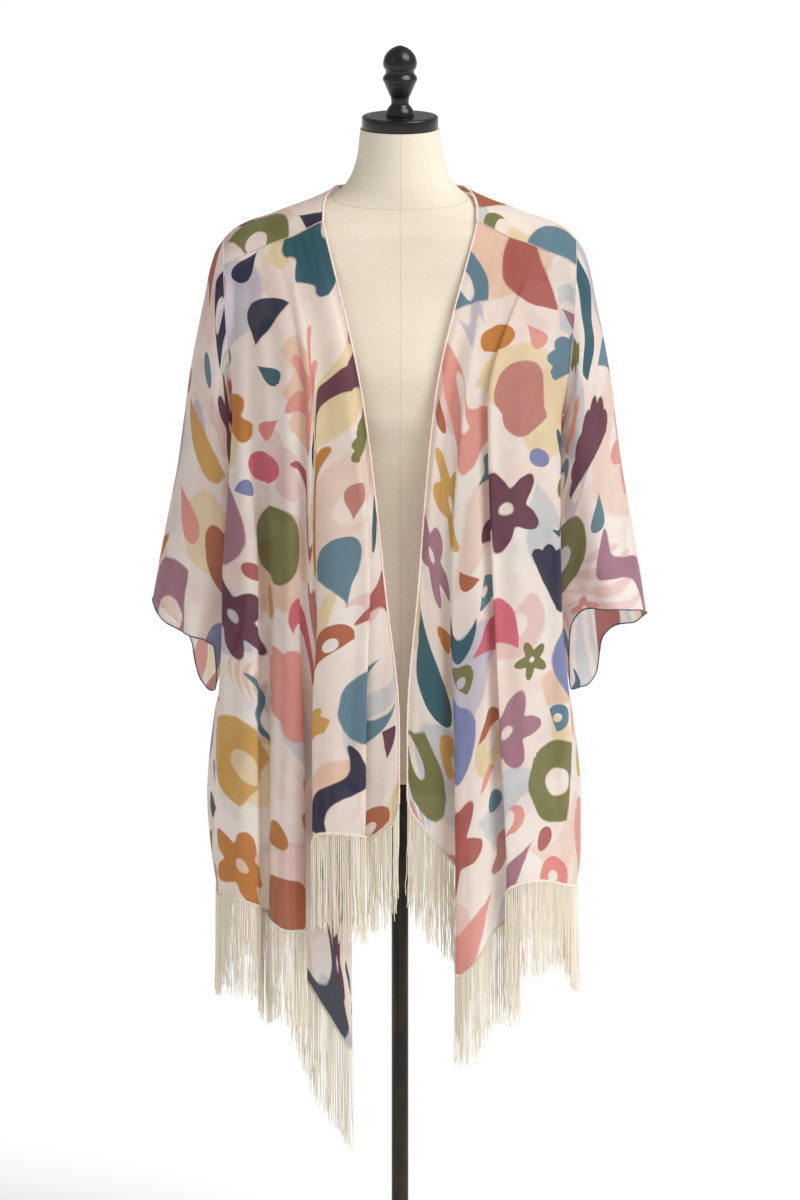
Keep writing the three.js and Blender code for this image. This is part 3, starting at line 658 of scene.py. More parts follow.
def turnedPiece(name, profile, sides, material, node):
    bpy.ops.object.select_all(action="DESELECT")
    first = profile[0]
    bpy.ops.mesh.primitive_circle_add(vertices=sides, radius=first[0] * mm, fill_type="NGON",
                                      location=(0, 0, first[1] * mm))
    piece = bpy.context.object
    piece.name = name
    piece.data.name = name
    bpy.ops.object.mode_set(mode="EDIT")
    bpy.ops.mesh.select_all(action="SELECT")
    for (radius, height), (nextRadius, nextHeight) in zip(profile, profile[1:]):
        bpy.ops.mesh.extrude_region_move(TRANSFORM_OT_translate={"value": (0, 0, (nextHeight - height) * mm)})
        size = nextRadius / radius
        bpy.ops.transform.resize(value=(size, size, 1), center_override=(0, 0, nextHeight * mm))
    bpy.ops.mesh.select_all(action="SELECT")
    bpy.ops.mesh.normals_make_consistent(inside=False)
    bpy.ops.object.mode_set(mode="OBJECT")
    bpy.ops.object.transform_apply(location=True, rotation=True, scale=True)
    bpy.ops.object.shade_smooth_by_angle(angle=math.radians(38))
    piece.data.materials.append(material)
    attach(piece, "root")
    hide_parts(node)


def blackGloss():
    material, tree = newMaterial("blackGloss")
    where = objectPlace(tree)
    grain = grainOf(tree, where, (30, 30, 120), 4.0)
    haze = noiseOf(tree, where, 90.0, 4.0, 0.65)
    colour = mixColour(tree, ranged(tree, grain, 0.35, 0.7, 0.0, 1.0), linear(14, 14, 16), linear(26, 22, 20))
    rough = ranged(tree, haze, 0.3, 0.7, 0.26, 0.38)
    bump = bumpOf(tree, haze, 0.06, 0.0004)
    showOn(tree, principled(tree, {"Base Color": colour, "Roughness": rough, "Coat Weight": 0.12,
                                   "Coat Roughness": 0.12, "Specular IOR Level": 0.38, "Normal": bump}))
    return material


def bronzedSteel():
    material, tree = newMaterial("bronzedSteel")
    where = objectPlace(tree)
    drawn = grainOf(tree, where, (900, 900, 14), 3.0)
    wear = noiseOf(tree, where, 22.0, 5.0, 0.65)
    colour = mixColour(tree, ranged(tree, wear, 0.45, 0.75, 0.0, 1.0), linear(38, 34, 30), linear(66, 56, 46))
    rough = ranged(tree, drawn, 0.3, 0.7, 0.3, 0.46)
    bump = bumpOf(tree, drawn, 0.08, 0.0003)
    showOn(tree, principled(tree, {"Base Color": colour, "Roughness": rough, "Metallic": 0.55,
                                   "Normal": bump}))
    return material


stand = {
    "baseRadius": 180, "baseHeight": 12, "collarRadius": 21, "collarHeight": 44, "poleRadius": 10.5,
    "capRadius": 47.5, "capFoot": 1495.0, "capHeight": 16, "finialFoot": 1511.3, "formBottom": 681,
}
finialKnots = table("z r", [
    [0, 17.5], [4, 17.4], [9, 15.2], [15, 11], [21, 11.2], [28, 14], [41, 19.5], [46.5, 21.7],
    [49, 20.8], [53.5, 17.8], [57, 17.8], [60, 20], [65, 21.3], [73, 19.8], [82, 13.5], [87.4, 4.5],
    [88.3, 1.2],
])


def makeStand():
    s = stand
    gloss, steel = blackGloss(), bronzedSteel()
    rim = s["baseRadius"]
    turnedPiece("base_plate", [
        (rim - 3, 0), (rim - 0.9, 0.9), (rim, 3), (rim, 9), (rim - 0.9, 11.1), (rim - 3, 12), (rim - 26, 12)],
        120, steel, "base_disc")
    foot = s["baseHeight"] + 0.3
    reach = s["collarRadius"]
    turnedPiece("collar_turned", [
        (reach - 0.8, foot), (reach, foot + 0.8), (reach, foot + 5), (reach - 0.8, foot + 6.4),
        (reach - 3.4, foot + 9), (reach - 5, foot + 13), (reach - 5.6, foot + 40),
        (reach - 6.6, foot + s["collarHeight"])],
        64, steel, "pole_collar")
    turnedPiece("pole_turned", [
        (s["poleRadius"], foot), (s["poleRadius"], 300), (s["poleRadius"], s["formBottom"] - 0.3)],
        64, steel, "pole")
    low, top, wide = s["capFoot"], s["capFoot"] + s["capHeight"], s["capRadius"]
    turnedPiece("neck_cap_turned", [
        (wide - 1.1, low), (wide - 0.3, low + 0.35), (wide, low + 1.2), (wide, top - 2.2),
        (wide - 0.5, top - 0.9), (wide - 2, top), (wide - 9, top)], 96, gloss, "neck_cap")
    heights = np.linspace(0, 88.3, 52)
    radii = smoothCurve(finialKnots["z"], finialKnots["r"], heights)
    turnedPiece("finial_turned", [(float(r), s["finialFoot"] + float(z)) for r, z in zip(radii, heights)],
                64, gloss, "finial")


makeStand()
print("stand made")

# How the cloth hangs

coat = {
    "seamGap": 0.35, "armGap": 0.1, "yokeRest": 2.7, "yokeFan": 21, "foldReach": 26, "formRest": 1.7,
    "creaseDepth": 1.75,
    "chest": 1170, "waist": 930, "hip": 760, "hem": 600,
    "armTop": 1354, "armBottom": 1136, "armX": 220, "armLean": 16, "armY": 5, "armFront": 66, "armBack": 70,
}
shoulder = table("x ridge frontFall backFall", [
    [0, 1446, 0.0105, 0.0121], [76, 1422, 0.0084, 0.0105], [100, 1410, 0.0076, 0.0092],
    [128, 1397.5, 0.0092, 0.0089], [157, 1387.5, 0.0103, 0.0086], [190, 1376.5, 0.0129, 0.0130],
    [207, 1367, 0.0138, 0.0140], [220, 1354.5, 0.0146, 0.0133],
])
frontSeam = table("x y", [[96, -53], [128, -50.5], [157, -48], [190, -45], [220, -38]])
backSeam = table("x y", [[0, 104], [96, 98], [157, 84], [190, 67], [220, 50]])
neckEdge = table("x y", [
    [96, -53], [95.5, -37], [93, -21], [88.5, -5], [82, 11], [72, 32], [54, 53], [29, 67], [0, 72],
])
sideSeam = table("z left right", [
    [1136, 204, 204], [1060, 194, 194], [930, 191, 190], [860, 196, 192], [800, 219, 206],
    [760, 231, 215], [650, 241, 226], [580, 236, 226], [535, 229, 221],
])
# Each fold line: x at the top, chest, waist, hip and hem, then y at the last four, then the height of the hem
leftFront = [
    [-96, -46, -18, -1, -1, -120, -132, -139, -143, 669],
    [-100, -50, -23, -7, -7, -121, -133, -140, -144, 642],
    [-104, -54, -29, -21, -22, -122, -133, -139, -142, 630],
    [-109, -59, -43, -51, -55, -124, -129, -131, -131, 617],
    [-114, -65, -38, -38, -38, -127, -141, -147, -153, 625],
    [-127, -84, -71, -75, -75, -129, -145, -153, -160, 632],
    [-140, -104, -104, -112, -112, -127, -139, -149, -157, 631],
    [-147, -112, -109, -82, -56, -122, -129, -122, -112, 338],
    [-153, -120, -118, -131, -136, -118, -121, -101, -88, 463],
    [-159, -128, -124, -116, -114, -120, -128, -128, -131, 505],
    [-168, -144, -142, -142, -144, -117, -134, -136, -140, 504],
    [-177, -160, -158, -160, -161, -108, -124, -126, -129, 515],
    [-183, -173, -161, -163, -164, -98, -99, -93, -90, 520],
    [-189, -186, -171, -173, -174, -90, -98, -93, -90, 524],
    [-194, -195, -174, -175, -176, -89, -117, -119, -122, 533],
    [-200, -201, -199, -200, -201, -84, -119, -121, -123, 541],
    [-207, -206, -226, -227, -227, -73, -97, -98, -98, 542],
    [-220, -209, -187, -231, -240, -43, 0, 0, 0, 535],
]
rightFront = [
    [96, 43, 22, 9, 9, -120, -130, -136, -139, 672],
    [101, 49, 28, 15, 16, -121, -131, -138, -140, 652],
    [113, 62, 42, 41, 45, -124, -133, -138, -140, 616],
    [125, 76, 62, 84, 92, -124, -128, -124, -118, 560],
    [134, 84, 69, 69, 66, -128, -140, -150, -160, 443],
    [149, 98, 90, 93, 100, -127, -143, -152, -161, 473],
    [158, 104, 104, 111, 117, -121, -131, -134, -136, 509],
    [166, 114, 122, 136, 154, -116, -123, -122, -121, 524],
    [172, 110, 113, 119, 127, -127, -141, -149, -153, 559],
    [185, 137, 140, 150, 162, -114, -133, -140, -143, 569],
    [197, 168, 171, 176, 185, -95, -106, -108, -106, 562],
    [207, 197, 203, 213, 216, -76, -90, -86, -82, 550],
    [220, 209, 185, 215, 226, -43, 0, 0, 0, 537],
]
backFolds = [
    [-220, -209, -187, -231, -240, 57, 0, 0, 0, 535],
    [-210, -203, -204, -219, -223, 78, 72, 71, 73, 540],
    [-192, -178, -177, -187, -193, 86, 85, 83, 86, 548],
    [-170, -152, -152, -156, -158, 105, 119, 127, 135, 556],
    [-140, -122, -122, -126, -126, 108, 107, 109, 111, 566],
    [-108, -92, -88, -86, -84, 115, 129, 141, 149, 578],
    [-70, -58, -54, -50, -50, 112, 117, 124, 124, 588],
    [-30, -22, -18, -14, -14, 115, 131, 145, 151, 595],
    [10, 14, 20, 22, 24, 112, 118, 125, 124, 596],
    [50, 52, 56, 60, 62, 115, 131, 143, 151, 590],
    [90, 84, 88, 92, 96, 110, 111, 115, 115, 580],
    [125, 118, 122, 128, 132, 109, 125, 135, 141, 570],
    [153, 145, 149, 157, 161, 97, 99, 101, 101, 560],
    [181, 173, 177, 189, 195, 86, 93, 99, 100, 552],
    [203, 199, 200, 205, 213, 70, 63, 60, 58, 542],
    [220, 209, 185, 215, 226, 57, 0, 0, 0, 537],
]


def shoulderHeight(x, y):
    across = np.maximum(0, np.abs(x) - coat["yokeRest"])
    deep = np.maximum(0, np.abs(y) - coat["yokeRest"])
    low = np.full(np.shape(across), 1250.0)
    high = np.full(np.shape(across), 1416.0)
    for _ in range(24):
        mid = (low + high) / 2
        depth = np.where(y < 0, formDepth(across, mid, "front"), formDepth(across, mid, "back"))
        over = (across < ofForm("half", mid)) & (depth >= deep)
        low, high = np.where(over, mid, low), np.where(over, high, mid)
    return low + coat["yokeRest"]


def yokeHeight(x, y):
    x, y = np.asarray(x, float), np.asarray(y, float)
    away = np.abs(x)
    fall = np.where(y < coat["armY"], smoothCurve(shoulder["x"], shoulder["frontFall"], away),
                    smoothCurve(shoulder["x"], shoulder["backFall"], away))
    arch = smoothCurve(shoulder["x"], shoulder["ridge"], away) - fall * (y - coat["armY"]) ** 2
    return softMax(arch, shoulderHeight(x, y), 4)


def sideEdge(side, z, face):
    sign = -1 if side == "left" else 1
    c = coat
    down = (c["armTop"] - z) / (c["armTop"] - c["armBottom"])
    middle, half = (c["armTop"] + c["armBottom"]) / 2, (c["armTop"] - c["armBottom"]) / 2
    share = np.sqrt(np.maximum(0, 1 - ((z - middle) / half) ** 2))
    holeY = c["armY"] + (-c["armFront"] if face == "front" else c["armBack"]) * share
    seamX = smoothCurve(sideSeam["z"], sideSeam[side], z)
    seamY = c["armY"] * np.maximum(0, 1 - (c["armBottom"] - z) / 60)
    above = z > c["armBottom"]
    return (np.where(above, sign * (c["armX"] - c["armLean"] * down ** 2), sign * seamX),
            np.where(above, holeY, seamY))


def foldTracks(rows, seam, face, shares):
    tracks = []
    for xTop, xChest, xWaist, xHip, xHem, yChest, yWaist, yHip, yHem, zHem in rows:
        topY = float(smoothCurve(seam["x"], seam["y"], abs(xTop)))
        topZ = float(yokeHeight(xTop, topY))
        z = topZ + (zHem - topZ) * shares
        if abs(xTop) == coat["armX"]:
            x, y = sideEdge("left" if xTop < 0 else "right", z, face)
        else:
            knots = [topZ, coat["chest"], coat["waist"], coat["hip"], coat["hem"]]
            x = smoothCurve(knots, [xTop, xChest, xWaist, xHip, xHem], z)
            y = smoothCurve(knots, [topY, yChest, yWaist, yHip, yHem], z)
        tracks.append(np.stack([x, y, z], -1))
    return offForm(np.stack(tracks, 1), face, 2.1)


def offForm(points, face, rest):
    x, y, z = points[..., 0], points[..., 1], points[..., 2]
    depth = formDepth(x, z, face)
    pushed = np.where(depth > 0, softMax(np.abs(y), depth + rest, 5), np.abs(y))
    return np.stack([x, np.sign(y) * pushed, z], -1)


def roundedCourses(corners, reach, bend, run):
    last = corners.shape[1] - 1
    pull = coat["seamGap"]

    def inward(first, second):
        gap = second - first
        return first + gap * pull / np.linalg.norm(gap, axis=-1, keepdims=True)

    starts = inward(corners[:, 0], corners[:, 1])
    ends = inward(corners[:, last], corners[:, last - 1])
    pieces, place, leave = [], [], starts
    leaveAt = 0.0
    for i in range(1, last):
        back = corners[:, i - 1] - corners[:, i]
        on = corners[:, i + 1] - corners[:, i]
        backLength = np.linalg.norm(back, axis=-1, keepdims=True)
        onLength = np.linalg.norm(on, axis=-1, keepdims=True)
        near = np.minimum(reach, 0.46 * np.minimum(backLength, onLength))
        before = corners[:, i] + back / backLength * near
        after = corners[:, i] + on / onLength * near
        for s in np.linspace(0, 1, run, endpoint=False):
            pieces.append(leave + (before - leave) * s)
            place.append(leaveAt + (i - 0.3 - leaveAt) * s)
        for s in np.linspace(0, 1, bend, endpoint=False):
            pieces.append((1 - s) ** 2 * before + 2 * s * (1 - s) * corners[:, i] + s ** 2 * after)
            place.append(i - 0.3 + 0.6 * s)
        leave, leaveAt = after, i + 0.3
    for s in np.linspace(0, 1, run + 1):
        pieces.append(leave + (ends - leave) * s)
        place.append(leaveAt + (last - leaveAt) * s)
    return np.stack(pieces, 1), np.array(place)


def arcAcross(grid):
    steps = np.linalg.norm(np.diff(grid, axis=1), axis=2)
    return np.concatenate([np.zeros((len(grid), 1)), np.cumsum(steps, axis=1)], axis=1)


def lengthDown(grid):
    steps = np.linalg.norm(np.diff(grid, axis=0), axis=2).mean(axis=1)
    return np.concatenate([[0], np.cumsum(steps)])


wrinkles = {"count": 46, "narrow": 4, "wide": 9, "depth": 0.9, "short": 0.06, "long": 0.2, "wander": 0.5}


def smallCreases(seed, lastFold):
    w = wrinkles
    rng = random.Random(seed)
    rows = []
    for _ in range(w["count"]):
        fold, start = rng.uniform(0, lastFold), rng.uniform(0.03, 0.85)
        end, drift = start + rng.uniform(w["short"], w["long"]), rng.uniform(-w["wander"], w["wander"])
        width, depth = rng.uniform(w["narrow"], w["wide"]), rng.uniform(-w["depth"], w["depth"])
        rows.append([fold, start, end, width, depth, drift, 2])
    return rows


def creased(grid, place, shares, creases, seed, gathers):
    arc = arcAcross(grid)
    rise = np.zeros(arc.shape)
    large = [[fold, start, end, width, coat["creaseDepth"] * depth, drift, 0.7]
             for fold, start, end, width, depth, drift in creases]
    for fold, start, end, width, depth, drift, taper in large + smallCreases(seed, place[-1]):
        t = np.clip((shares - start) / (end - start), 0, 1)
        centre = np.array([np.interp(fold + drift * a, place, line) for a, line in zip(t, arc)])
        along = np.sin(np.pi * t) ** taper
        rise += depth * along[:, None] * np.exp(-((arc - centre[:, None]) / width) ** 2)
    g = gathers
    drop = np.abs(grid[..., 2] - grid[:1, :, 2])
    wave = np.sin(arc / g["pitch"] * math.tau + 2.1 * np.sin(arc / 31.0))
    rise += g["depth"] * wave * np.exp(-drop / g["fade"]) * easeIn(drop, 0, 7)
    up = np.abs(grid[..., 2] - grid[-1:, :, 2])
    hemWave = np.sin(arc / g["hemPitch"] * math.tau + 1.7 * np.sin(arc / 23.0))
    rise += g["hem"] * hemWave * np.exp(-up / g["hemFade"])
    hold = easeIn(arc, 0, 14) * easeIn(arc[:, -1:] - arc, 0, 14) * easeIn(shares[:, None], 0, 0.015)
    return grid + gridNormals(grid) * (rise * hold)[..., None]


panelMesh = {"courses": 132, "bend": 7, "run": 3}


def panelGrid(rows, seam, face, creases, seed, gathers):
    shares = np.concatenate([np.linspace(0, 0.24, 40, endpoint=False),
                             np.linspace(0.24, 1, panelMesh["courses"] - 40)])
    tracks = foldTracks(rows, seam, face, shares)
    grid, place = roundedCourses(tracks, coat["foldReach"], panelMesh["bend"], panelMesh["run"])
    top = grid[0].copy()
    snappedY = smoothCurve(seam["x"], seam["y"], np.abs(top[:, 0]))
    snapped = np.stack([top[:, 0], snappedY, yokeHeight(top[:, 0], snappedY) - 2 * coat["seamGap"]], -1)
    weight = np.clip(1 - shares / 0.055, 0, 1)[:, None, None]
    grid = grid + weight * (snapped - top)[None]
    grid = creased(grid, place, shares, creases, seed, gathers)
    loose = easeIn(shares, 0.0, 0.05)[:, None, None]
    grid = grid + loose * (offForm(grid, face, coat["formRest"]) - grid)
    arc = arcAcross(grid)
    down = lengthDown(grid)
    flat = np.stack([arc - arc[:, -1:] / 2, np.broadcast_to(-down[:, None], arc.shape)], -1)
    return grid, flat


# Soft creases on each panel: which fold line they follow, where they start and end down it, how wide and
# how deep they are, and how far they wander across
leftCreases = [
    [1.6, 0.02, 0.55, 13, -2.4, 0.4], [3.2, 0.05, 0.75, 15, 2.6, -0.3], [5.1, 0.00, 0.42, 16, -2.8, 0.5],
    [5.6, 0.35, 0.98, 18, 3.2, -0.4], [6.8, 0.05, 0.50, 12, 2.2, 0.3], [8.4, 0.12, 0.80, 12, -2.4, -0.2],
    [9.6, 0.02, 0.60, 11, 2.0, 0.5], [10.5, 0.30, 0.95, 13, -3.0, 0.2], [11.7, 0.05, 0.45, 10, 2.1, -0.6],
    [13.4, 0.20, 0.90, 11, -2.2, 0.4], [14.6, 0.08, 0.60, 14, 2.6, 0.3], [15.5, 0.35, 1.00, 16, -3.0, -0.2],
    [16.3, 0.10, 0.70, 12, 2.2, 0.2], [4.6, 0.55, 1.00, 9, -1.8, 0.3], [2.4, 0.60, 1.00, 10, 2.0, 0.2],
]
rightCreases = [
    [0.9, 0.05, 0.60, 12, -2.2, 0.3], [2.1, 0.00, 0.50, 14, 2.6, -0.3], [3.5, 0.20, 0.85, 13, -2.6, 0.2],
    [4.6, 0.00, 0.40, 13, 2.5, 0.5], [5.5, 0.30, 0.95, 14, -3.0, 0.2], [6.4, 0.05, 0.55, 10, 2.2, -0.4],
    [7.6, 0.02, 0.65, 11, -2.1, 0.4], [8.6, 0.25, 0.90, 16, 3.2, 0.3], [9.5, 0.05, 0.55, 15, -2.6, -0.3],
    [10.4, 0.35, 1.00, 14, 2.8, 0.2], [11.3, 0.08, 0.70, 12, -2.4, 0.2], [9.1, 0.60, 1.00, 10, -2.0, 0.2],
    [2.8, 0.55, 1.00, 12, 2.2, -0.2],
]
backCreases = [
    [1.5, 0.05, 0.60, 14, -2.4, 0.3], [2.7, 0.00, 0.50, 15, 2.6, -0.2], [4.4, 0.10, 0.85, 16, -2.8, 0.3],
    [5.6, 0.02, 0.45, 14, 2.2, 0.4], [6.5, 0.30, 1.00, 18, -3.2, -0.3], [7.5, 0.00, 0.55, 13, 2.4, 0.2],
    [8.6, 0.20, 0.90, 17, -2.6, 0.3], [9.7, 0.05, 0.60, 14, 2.8, -0.3], [10.6, 0.30, 1.00, 16, -2.4, 0.2],
    [12.3, 0.00, 0.50, 13, 2.2, 0.4], [13.4, 0.15, 0.80, 15, -2.8, -0.2], [14.3, 0.05, 0.70, 12, 2.2, 0.2],
]
gatherSizes = {"pitch": 13.5, "depth": 0.6, "fade": 24.0, "hem": 0.6, "hemPitch": 8.5, "hemFade": 14.0}

cutShape = shapeGroup()
chiffon = printedChiffon(cutShape)
leftGrid, leftFlat = panelGrid(leftFront, frontSeam, "front", leftCreases, 11, gatherSizes)
rightGrid, rightFlat = panelGrid(rightFront, frontSeam, "front", rightCreases, 12, gatherSizes)
backGrid, backFlat = panelGrid(backFolds, backSeam, "back", backCreases, 13, gatherSizes)
leftPiece = clothPiece("cloth_front_left", leftGrid, leftFlat, chiffon, 21)
rightPiece = clothPiece("cloth_front_right", rightGrid, rightFlat, chiffon, 34)
backPiece = clothPiece("cloth_back", backGrid, backFlat, chiffon, 47)
print("panels made")

# Yoke


yokeSizes = {"across": 52, "neck": 40, "down": 46, "neckX": 96, "puckerPitch": 15.0, "puckerDepth": 0.5}


def yokeGrid():
    c, sizes = coat, yokeSizes
    neckX = sizes["neckX"]
    seamX = np.linspace(c["armX"], neckX + 2, sizes["across"])
    front = np.stack([seamX, smoothCurve(frontSeam["x"], frontSeam["y"], seamX)], -1)
    backX = seamX + c["yokeFan"] * (c["armX"] - seamX) / (c["armX"] - neckX)
    knots = np.arange(len(neckEdge["x"]), dtype=float)
    at = np.linspace(0, len(knots) - 1, sizes["neck"])
    neck = np.stack([smoothCurve(knots, neckEdge["x"], at), smoothCurve(knots, neckEdge["y"], at)], -1)
    neckBack = (neckX + c["yokeFan"]) * (1 - at / at[-1])
    frontHalf = np.concatenate([front, neck])
    backHalf = np.concatenate([backX, neckBack])
    mirrored = frontHalf[:-1][::-1] * np.array([-1, 1])
    fronts = np.concatenate([frontHalf, mirrored])
    backs = np.concatenate([backHalf, -backHalf[:-1][::-1]])
    shares = np.linspace(0.003, 0.997, sizes["down"])
    backY = smoothCurve(backSeam["x"], backSeam["y"], np.abs(backs))
    x = fronts[None, :, 0] + (backs - fronts[:, 0])[None] * shares[:, None]
    y = fronts[None, :, 1] + (backY - fronts[:, 1])[None] * shares[:, None]
    limit = c["armX"] - c["seamGap"]
    x = np.clip(x, -limit, limit)
    grid = np.stack([x, y, yokeHeight(x, y)], -1)
    arc = arcAcross(grid)
    ripple = sizes["puckerDepth"] * np.sin(arc / sizes["puckerPitch"] * math.tau + 2 * np.sin(arc / 37.0))
    edge = easeIn(shares, 0, 0.06) * easeIn(1 - shares, 0, 0.06)
    fade = np.exp(-shares * 5) + np.exp(-(1 - shares) * 5)
    grid[..., 2] += (np.maximum(ripple, -0.1) * (edge * fade)[:, None])
    over = lengthDown(grid)
    flat = np.stack([x, np.broadcast_to(over[:, None], x.shape)], -1)
    return grid, flat, len(front)


yokePoints, yokeFlat, seamCount = yokeGrid()
yokePiece = clothPiece("cloth_yoke", yokePoints, yokeFlat, chiffon, 60)

# Sleeves

sleeveRings = table("t outX outZ inLeft inRight inZ front back", [
    [0, 220, 1354, 204, 204, 1136, 66, 70], [0.05, 229, 1340, 205, 205, 1131, 66, 70],
    [0.1, 237, 1316, 204, 203, 1122, 66, 71], [0.18, 243, 1285, 200, 199, 1104, 66, 72],
    [0.3, 253, 1236, 196, 194, 1066, 67, 74], [0.42, 263, 1180, 194, 192, 1024, 68, 76],
    [0.55, 270, 1125, 192, 190, 976, 70, 78], [0.67, 277, 1075, 193, 191, 932, 72, 80],
    [0.8, 289, 1010, 201, 196, 884, 74, 82], [0.9, 300, 950, 215, 203, 846, 76, 84],
    [1, 309, 898, 230, 212, 812, 76, 84],
])
leftSleeveFolds = [[-150, -7, 24, 0.25], [-108, 6, 22, 0.1], [-72, -8, 24, 0.2], [-30, 5, 24, 0.35],
                   [35, -7, 26, 0.3], [80, 6, 26, 0.15], [122, -9, 26, 0.2], [165, 5, 22, 0.4]]
rightSleeveFolds = [[-158, 5, 22, 0.3], [-122, -8, 24, 0.15], [-84, 7, 24, 0.25], [-46, -6, 24, 0.1],
                    [28, -5, 26, 0.3], [70, 7, 28, 0.2], [112, -8, 26, 0.1], [152, 5, 24, 0.35]]
leftCuff = table("angle drop", [
    [-180, -6], [-160, 30], [-135, 30], [-90, 14], [-45, -2], [0, 2], [45, -8], [90, -10], [102, -14],
    [110, -36], [120, -47], [135, -48], [160, -36], [180, -6]])
rightCuff = table("angle drop", [
    [-180, 10], [-160, 56], [-135, 68], [-90, 44], [-45, 8], [0, -17], [20, -22], [45, -26], [90, -11],
    [99, -13], [108, -50], [120, -54], [135, -48], [160, -35], [180, 10]])
# Soft creases down a sleeve: where round it, start, end, width in degrees, depth, and how far round they turn
leftSleeveCreases = [
    [-128, 0.05, 0.85, 9, 1.8, 14], [-92, 0.12, 0.95, 8, -1.9, -10], [-50, 0.02, 0.6, 9, 1.6, 12],
    [-12, 0.2, 0.9, 10, -1.7, 8], [20, 0.05, 0.7, 9, 1.6, -12], [62, 0.15, 0.95, 8, -1.8, 10],
    [104, 0.05, 0.8, 9, 1.9, -8], [146, 0.2, 0.95, 9, -1.6, 12]]
rightSleeveCreases = [
    [-140, 0.1, 0.9, 9, -1.8, -12], [-104, 0.02, 0.75, 8, 1.9, 10], [-66, 0.15, 0.95, 9, -1.7, 8],
    [-24, 0.05, 0.65, 10, 1.7, -10], [10, 0.25, 0.95, 9, -1.6, 10], [48, 0.05, 0.7, 9, 1.8, 12],
    [92, 0.1, 0.85, 8, -1.9, -10], [134, 0.05, 0.8, 9, 1.6, 8]]


sleeveMesh = {"around": 132, "down": 110, "smallCreases": 26}


def smallSleeveCreases(seed):
    rng = random.Random(seed)
    starts = (rng.uniform(0.02, 0.8) for _ in range(sleeveMesh["smallCreases"]))
    return [[rng.uniform(-180, 180), s, s + rng.uniform(0.12, 0.35), rng.uniform(3, 6),
             rng.uniform(-0.8, 0.8), rng.uniform(-20, 20)] for s in starts]


def aboutZero(degrees):
    return (degrees + 180) % 360 - 180


def sleeveGrid(sign, folds, cuff, creases, seed):
    around, down = sleeveMesh["around"], sleeveMesh["down"]
    t = np.linspace(0, 1, down)[:, None]
    ring = {name: smoothCurve(sleeveRings["t"], sleeveRings[name], t) for name in sleeveRings if name != "t"}
    angle = (360 * np.arange(around) / around - 180)[None]
    turn, bump = np.radians(angle), np.zeros((down, around))
    for at, depth, width, start in folds:
        off = aboutZero(angle - at) / width
        bump = bump + depth * easeIn(t, start, 1) * np.exp(-off ** 2)
    for at, start, end, width, depth, drift in creases + smallSleeveCreases(seed):
        share = np.clip((t - start) / (end - start), 0, 1)
        off = aboutZero(angle - at - drift * share) / width
        bump = bump + depth * np.sin(np.pi * share) * np.exp(-off ** 2)
    depth = np.where(np.sin(turn) < 0, ring["front"], ring["back"])
    swell = 1 + bump / depth
    bow = coat["armLean"] / 4 * np.sin(turn) ** 2 * (1 - t) ** 2
    inX = ring["inLeft" if sign < 0 else "inRight"]
    x = ((ring["outX"] + inX) / 2 + (ring["outX"] - inX) / 2 * np.cos(turn)
         * (1 + 0.4 * (swell - 1)) + bow)
    y = coat["armY"] + depth * np.sin(turn) * swell
    drop = smoothCurve(cuff["angle"], cuff["drop"], angle) * t ** 3
    z = (ring["outZ"] + ring["inZ"]) / 2 + (ring["outZ"] - ring["inZ"]) / 2 * np.cos(turn) + drop
    grid = np.stack([sign * (x + coat["armGap"]), y + 0 * z, z], -1)
    closed = np.concatenate([grid, grid[:, :1]], axis=1)
    arc = arcAcross(closed)
    length = lengthDown(closed)
    flat = np.stack([arc - arc[:, -1:] / 2, np.broadcast_to(-length[:, None], arc.shape)], -1)
    return grid, flat


sleeveLeft, sleeveLeftFlat = sleeveGrid(-1, leftSleeveFolds, leftCuff, leftSleeveCreases, 71)
sleeveRight, sleeveRightFlat = sleeveGrid(1, rightSleeveFolds, rightCuff, rightSleeveCreases, 72)
sleeveLeftPiece = clothPiece("cloth_sleeve_left", sleeveLeft, sleeveLeftFlat, chiffon, 83, True)
sleeveRightPiece = clothPiece("cloth_sleeve_right", sleeveRight, sleeveRightFlat, chiffon, 96, True)
print("yoke and sleeves made")

# Rolled edges and seams


def rolledThread(name, base, stitch, pitch, share):
    material, tree = newMaterial(name)
    run = strandPlace(tree)
    along, about, _ = signalsOf(tree, run)
    wave = (along * (math.tau / pitch) + about * math.tau).sin()
    fuzz = noiseOf(tree, run, 900.0, 2.0)
    tone = noiseOf(tree, run, 14.0, 3.0)
    ground = mixColour(tree, ranged(tree, tone, 0.35, 0.65, 0.0, 1.0), linear(*base),
                       linear(*[min(255, c * 1.04) for c in base]))
    colour = mixColour(tree, ranged(tree, wave, 1 - 2 * share, 1.0, 0.0, 0.85), ground, linear(*stitch))
    bump = bumpOf(tree, wave + Signal(tree, fuzz), 0.3, 0.0004)
    showOn(tree, principled(tree, {"Base Color": colour, "Roughness": 0.75, "Sheen Weight": 0.15,
                                   "Normal": bump}))
    return material


def edgeRoll(path, radius, closed=False):
    sides = edgeSizes["sides"]
    points, at = alongPath(path, edgeSizes["step"])
    if closed:
        points, at = points[:-1], at[:-1]
    wobble = 1 + 0.1 * np.sin(at / 5.3) + 0.07 * np.sin(at / 2.1 + 1)
    part = tubeMesh(points, radius * wobble, sides, closed)
    uvs = np.stack([np.repeat(at, sides) * mm, np.tile(np.arange(sides) / sides, len(at))], -1)
    return part, uvs


def rollPiece(name, rolls, material):
    uvs = np.concatenate([roll[1] for roll in rolls])
    return meshFromParts(name, [roll[0] for roll in rolls], material, uvs)


